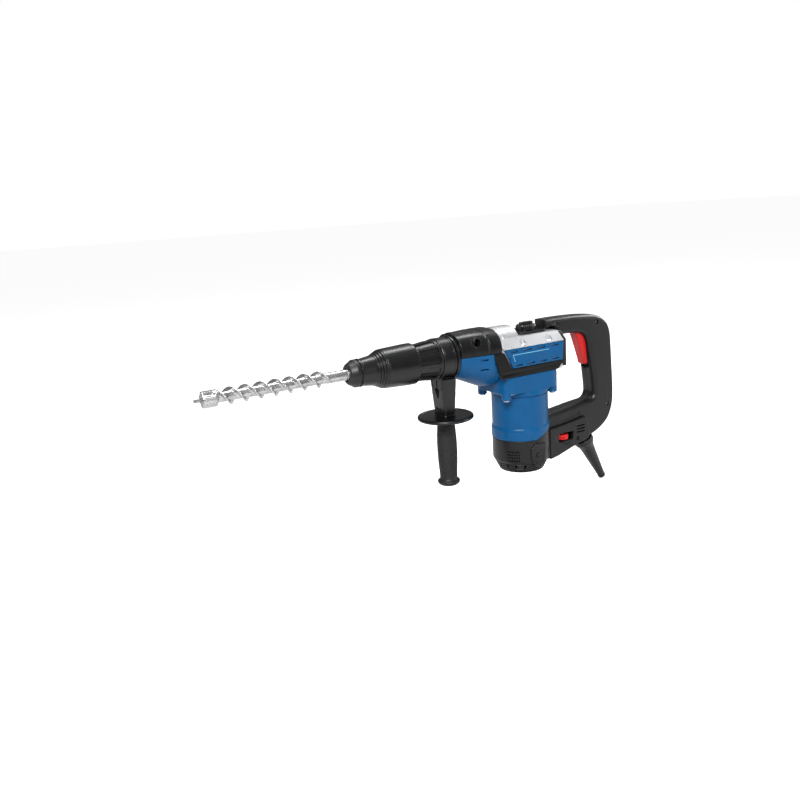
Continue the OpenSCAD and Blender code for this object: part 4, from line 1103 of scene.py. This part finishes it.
outer = [(40, 3.2), (52, 4.4), (62, 6.5), (76, 10.4), (91, 15), (111, 20.5), (131, 24.6), (150, 30.5),
         (168, 40.0),
         (181, 52.0), (189.4, 70.0), (192.2, 86), (192.55, 104), (191.5, 128), (190, 152),
         (188.2, 180), (186.2, 200),
         (180.5, 216), (170.5, 226.6), (157.0, 232.6), (140, 235.4), (120, 237.2), (98, 238.2),
         (77, 238.7),
         (58, 238.7), (44.6, 238.5)]
inner = [(44.6, 223.6), (62.9, 223.6), (63.9, 222.6), (63.9, 212.4), (66.0, 210.6), (72, 209.8),
         (90, 209.6),
         (108, 208.6), (119.5, 206.4), (127.5, 201.6), (132.5, 193.0), (135.5, 180), (138.0, 165),
         (142, 146),
         (144.8, 126), (146.6, 110), (146.4, 101.0), (142.6, 94.2), (135.0, 91.0), (124, 90.0),
         (111, 88.8),
         (91, 86.6), (71, 84.2), (56, 83.0), (40, 82.4)]


def open_spline(points, n):
    """Open Catmull-Rom curve through the points, n steps for each."""
    out = []
    for i in range(len(points) - 1):
        p1, p2 = Vector(points[i]), Vector(points[i + 1])
        p0 = Vector(points[i - 1]) if i > 0 else p1
        p3 = Vector(points[i + 2]) if i + 2 < len(points) else p2
        for k in range(n):
            t = k / n
            q = 0.5 * ((2 * p1) + (p2 - p0) * t + (2 * p0 - 5 * p1 + 4 * p2 - p3) * t * t
                       + (3 * p1 - p0 - 3 * p2 + p3) * t ** 3)
            out.append((q.x, q.y))
    out.append(points[-1])
    return out


handle_line = open_spline(outer, 4) + open_spline(inner[:4], 1) + open_spline(inner[3:], 4)[1:]


def handle_levels(half):
    """Cross-section of the grip: flat cheek, long bevel, rounded front and back."""
    return [(half, 6.4), (half - 0.25, 5.3), (half - 1.0, 4.0), (half - 2.6, 2.4), (half - 4.6, 1.1),
            (half - 6.6, 0.35), (half - 8.6, 0.0)]


def handle_half(name, s):
    """One half of the handle from the parting line outwards on side s."""
    levels = [(0.12, 0.9), (0.2, 0.35), (0.5, 0.0)] + handle_levels(17.0)[::-1]
    verts = []
    n = len(handle_line)
    rings = insets(handle_line, [d for y, d in levels])
    for y, d in levels:
        verts += [(u, s * y, v) for u, v in rings[d]]
    faces = tube_faces(len(levels), n) + end_faces(len(levels), n)
    return build(name, verts, faces, 38.0)


arm_outline = dense(rounded([(44, 6.0, 2), (62, 9.2, 30), (91, 17.6, 30), (111, 23.0, 10),
                             (127.5, 27.6, 3),
                             (131.5, 34.0, 4), (127.0, 60.0, 4), (121.0, 67.0, 3), (91, 62.6, 20),
                             (71, 60.4, 20), (44, 58.0, 2)], 5), 3.5)
trigger_room = [(100, 190), (100, 214), (120, 217), (142, 212), (142, 190), (147.5, 168),
                (148, 145.5), (124, 145.5)]
# Cord boot: its tilt, the way it hangs and its place on the handle
tilt = RAD(29.4)
boot_down = Vector((math.sin(tilt), 0, -math.cos(tilt)))
boot_top = Vector((133, 0, 22))
for s, side in ((-1, "left"), (1, "right")):
    shell = handle_half(f"handle_{side}_skin", s)
    cheek = slab(f"handle_{side}_cheek", arm_outline, *sorted((s * 12.0, s * 22.0)),
                 1.9 if s < 0 else 0.2,
                 1.9 if s > 0 else 0.2, steps=6)
    for obj in (shell, cheek):
        combine(obj, many("motor_room", [rod((0, 0, -6), (0, 0, 130), 47.5, n=160)]), angle=38.0)
    lo, hi = sorted((s * -1.0, s * 9.6))
    combine(shell, slab("trigger_room", trigger_room, lo, hi, 0, 0), angle=38.0)
    # Vent slots, sunk label strip, seat of the speed wheel
    extras = [box_mesh((101, s * 17.5 - 6, 41.0 + 5.2 * i),
                       (119, s * 17.5 + 6, 43.2 + 5.2 * i)) for i in range(3)]
    for obj in (shell, cheek):
        combine(obj, many("arm_vents", extras), angle=38.0)
    strip = dense(rounded([(71, 64.6, 1), (112.5, 71.0, 1), (113.5, 77.6, 1), (73, 73.4, 1)], 3), 4)
    combine(shell, slab("strip", strip, *sorted((s * 16.2, s * 19)), 0, 0), angle=38.0)
    if s < 0:
        dip = dense(rounded([(61.5, 31.5, 2.5), (92, 31.5, 2.5), (95, 46.5, 2.5), (62.5, 46.5, 2.5)],
                            4), 3)
        for obj in (cheek, shell):
            combine(obj, slab("wheel_dip", dip, -24.0, -16.4, 0, 0), angle=38.0)
        for obj in (shell, cheek):
            hole = many("wheel_hole", [rod((*WHEEL, 34.6), (*WHEEL, 43.4), 10.6, n=64)])
            combine(obj, hole, angle=38.0)
    for px, pz in HANDLE_SCREWS:
        for obj in ((cheek, shell) if (px, pz) == CHEEK_SCREW else (shell,)):
            well = many("screw_well", [rod((px, s * 12.5, pz), (px, s * 23, pz), 3.6, n=32)])
            combine(obj, well, angle=38.0)
    for obj in (shell, cheek):
        boot_hole = many("boot_hole", [rod(boot_top + boot_down * 8.3, boot_top - boot_down * 14,
                                           17.5, n=48)])
        combine(obj, boot_hole, angle=38.0)
        finish_piece(obj, GREY, f"handle_{side}_shell")
    for k, (px, pz) in enumerate(HANDLE_SCREWS):
        head = slab(f"{side}_handle_screw_{k}",
                    dense(rounded([(px + 3.1 * math.cos(RAD(a)), pz + 3.1 * math.sin(RAD(a)), 0)
                                   for a in range(0, 360, 15)]), 2),
                    *sorted((s * 12.4, s * 14.4)), 0.5 if s < 0 else 0.05, 0.5 if s > 0 else 0.05)
        finish_piece(head, DARK_STEEL, f"handle_{side}_shell", slot="dark_steel", replaces=[])

# Soft strip along the rear of the grip
strip_path = [p for p in open_spline(outer, 4) if p[0] > 158 and 66 < p[1] < 214]


def strip_ring(p, tangent, scale):
    """Section of the soft strip: a low crown outside and a flat root in the shells."""
    t = tangent.normalized()
    out = Vector((t.y, -t.x))
    ring = []
    half = 10.4 * scale
    for k in range(25):
        a = math.pi * k / 24
        y = -half * math.cos(a)
        rise = 0.3 * math.sin(a) ** 0.5 if 0 < k < 24 else 0.0
        fall = 0.55 * (abs(y) / 10.4) ** 3
        q = Vector(p) + out * (rise * scale - fall - 0.02)
        ring.append((q.x, y, q.y))
    for k in range(25):
        y = half * math.cos(math.pi * k / 24)
        q = Vector(p) - out * 2.6
        ring.append((q.x, y, q.y))
    return ring


strip_rings = []
for i in range(1, len(strip_path) - 1):
    a, b = Vector(strip_path[i - 1]), Vector(strip_path[i + 1])
    ends = min(i, len(strip_path) - 1 - i)
    strip_rings.append(strip_ring(strip_path[i], b - a,
                                  1.0 if ends > 3 else (0.55, 0.8, 0.93)[ends - 1]))
soft = loft("soft_strip", strip_rings, angle=45.0)
finish_piece(soft, SOFT, "handle_soft_grip")

# Trigger
trig = dense(rounded([(113.6, 209.0, 2), (118.2, 196.5, 12), (124.8, 178.0, 30), (130.4, 161.0, 20),
                      (132.3, 153.2, 1.6), (136.3, 151.2, 1.5), (139.3, 153.6, 1.5), (138.4, 168, 10),
                      (136.8, 184, 10), (136.7, 206, 3), (133, 210.3, 2), (122, 211.7, 3)], 5), 2.5)
trigger = slab("trigger_skin", trig, -9.0, 9.0, 2.4, 2.4, steps=6, angle=40.0)
combine(trigger, many("trigger_pin", [rod((133, -12, 206), (133, 12, 206), 2.06, n=32)]), angle=40.0)
finish_piece(trigger, RED, "trigger")


def wheel_warp(z, r, theta):
    """Fine notches round the wheel."""
    if r > 9:
        r -= 0.7 * (0.5 + 0.5 * math.cos(24 * theta)) ** 2
    return z, r


# Speed wheel
wheel = lathe("speed_wheel_skin", rounded([(33.4, 0.0, 0), (33.4, 2.4, 0.2), (35.0, 2.4, 0.1),
                                           (35.0, 9.4, 0.5),
                                           (36.0, 10.0, 0.5), (42.0, 10.0, 0.5), (43.0, 9.4, 0.5),
                                           (43.0, 2.4, 0.1),
                                           (44.6, 2.4, 0.2), (44.6, 0.0, 0)], 3, closed=False),
              axis="z", centre=WHEEL, segments=240, warp=wheel_warp, closed=False, angle=50.0)
finish_piece(wheel, RED, "speed_wheel")

# Cord boot: tapered rubber sleeve with a shallow ring near its end
side_dir = Vector((math.cos(tilt), 0, math.sin(tilt)))
boot_profile = [(-12.0, 4.75), (-12.0, 13.6), (-11.5, 14.0), (-0.05, 14.0), (-0.05, 16.7),
                (0.4, 17.2), (7.6, 17.2),
                (8.0, 16.8), (9.0, 16.4), (11.5, 15.6), (15.0, 14.0), (19.0, 12.7), (24.0, 11.9),
                (40.0, 10.4),
                (60.0, 8.6), (76.0, 7.3), (86.0, 6.5), (87.0, 6.75), (90.6, 6.6), (91.5, 6.2),
                (91.8, 5.7),
                (91.8, 4.75)]
boot_verts, seg = [], 72
for a, r in boot_profile:
    for j in range(seg):
        t = 2 * math.pi * j / seg
        p = boot_top + boot_down * a + side_dir * (r * math.cos(t)) + Vector((0, r * math.sin(t), 0))
        boot_verts.append(tuple(p))
boot = build("boot_skin", boot_verts, tube_faces(len(boot_profile), seg, True), 40.0)
finish_piece(boot, RUBBER, "cord_boot")

# ---------------------------------------------------------------- stage, light and camera

FRAME_PX, SENSOR = 800, 36.0
# A point on the bit axis and where it sits in the frame
AIM, AIM_PX = Vector((-144, 0, 203)), (442.02, 358.10)


def camera_at():
    """Camera fitted to the object: place, direction and roll, and focal length in pixels."""
    azimuth, elevation, roll = RAD(28.91), RAD(13.57), RAD(3.90)
    focal, distance = 785.26, 1185.8
    d = Vector((math.sin(azimuth) * math.cos(elevation), math.cos(azimuth) * math.cos(elevation),
                -math.sin(elevation)))
    right = Vector((math.cos(azimuth), -math.sin(azimuth), 0))
    up = right.cross(d)
    u0, v0 = ((p - FRAME_PX / 2) / focal for p in AIM_PX)
    c, s = math.cos(roll), math.sin(roll)
    xu, yu = u0 * c - v0 * s, u0 * s + v0 * c
    place = right * (-xu * distance) + up * (yu * distance) - d * distance
    place += AIM
    right2, up2 = right * c - up * s, right * s + up * c
    turn = Matrix((right2, up2, -d)).transposed().to_4x4()
    turn.translation = place * MM
    return turn, focal


camera_data = bpy.data.cameras.new("camera")
camera = bpy.data.objects.new("camera", camera_data)
bpy.context.scene.collection.objects.link(camera)
camera.matrix_world, focal_px = camera_at()
camera_data.sensor_width = SENSOR
camera_data.lens = focal_px / FRAME_PX * SENSOR
camera_data.clip_start, camera_data.clip_end = 0.05, 50.0
bpy.context.scene.camera = camera

# Floor in metres, under the cord boot; its glow towards the camera makes it white in the picture
FLOOR_Z = -0.0625
floor_mesh = bpy.data.meshes.new("floor")
floor_mesh.from_pydata([(x, y, FLOOR_Z) for x, y in ((-30, -30), (30, -30), (30, 30), (-30, 30))],
                       [], [(0, 1, 2, 3)])
floor = bpy.data.objects.new("floor", floor_mesh)
bpy.context.scene.collection.objects.link(floor)
floor_material, floor_tree, floor_shader = nodes_of("floor")
floor_shader.inputs["Base Color"].default_value = (0.6, 0.6, 0.6, 1)
floor_shader.inputs["Emission Color"].default_value = (1.0, 1.0, 1.0, 1)
floor_path = floor_tree.nodes.new("ShaderNodeLightPath")
glow = floor_tree.nodes.new("ShaderNodeMath")
glow.operation = "MULTIPLY"
glow.inputs[1].default_value = 0.8
floor_tree.links.new(floor_path.outputs["Is Camera Ray"], glow.inputs[0])
floor_tree.links.new(glow.outputs["Value"], floor_shader.inputs["Emission Strength"])
floor_shader.inputs["Roughness"].default_value = 0.8
floor_shader.inputs["Specular IOR Level"].default_value = 0.1
floor_mesh.materials.append(floor_material)

# Studio: dim below, brighter above, white where the camera sees it directly
world = bpy.data.worlds.new("studio")
world.use_nodes = True
tree = world.node_tree
background = tree.nodes["Background"]
coords = tree.nodes.new("ShaderNodeTexCoord")
split = tree.nodes.new("ShaderNodeSeparateXYZ")
tree.links.new(coords.outputs["Generated"], split.inputs["Vector"])
upward = tree.nodes.new("ShaderNodeMapRange")
upward.inputs["From Min"].default_value = -0.1
upward.inputs["From Max"].default_value = 0.9
upward.inputs["To Min"].default_value = 0.07
upward.inputs["To Max"].default_value = 0.34
tree.links.new(split.outputs["Z"], upward.inputs["Value"])
path = tree.nodes.new("ShaderNodeLightPath")
seen = tree.nodes.new("ShaderNodeMix")
seen.data_type = "FLOAT"
tree.links.new(path.outputs["Is Camera Ray"], seen.inputs[0])
tree.links.new(upward.outputs["Result"], seen.inputs[2])
seen.inputs[3].default_value = 1.0
tree.links.new(seen.outputs[0], background.inputs["Strength"])
background.inputs["Color"].default_value = (1.0, 1.0, 1.0, 1)
bpy.context.scene.view_settings.view_transform = "Standard"
bpy.context.scene.world = world


def area_light(name, place, target, size, power, size_y):
    data = bpy.data.lights.new(name, "AREA")
    data.energy = power
    data.shape = "RECTANGLE"
    data.size = size
    data.size_y = size_y
    obj = bpy.data.objects.new(name, data)
    bpy.context.scene.collection.objects.link(obj)
    obj.location = place
    obj.rotation_mode = "QUATERNION"
    obj.rotation_quaternion = (Vector(target) - Vector(place)).to_track_quat("-Z", "Y")


area_light("key", (-1.2, -1.3, 1.5), (-0.1, 0, 0.15), 0.8, 44, 0.6)
area_light("top", (-0.1, 0.45, 1.9), (0, 0, 0.15), 2.2, 34, 0.45)
area_light("rim", (1.4, 0.35, 0.9), (0.1, 0, 0.15), 0.35, 16, 1.2)
area_light("side", (1.5, -0.9, 0.6), (0.1, 0, 0.15), 0.25, 6, 1.2)
area_light("front", (-0.2, -2.0, 0.7), (-0.1, 0, 0.15), 0.4, 3, 1.2)
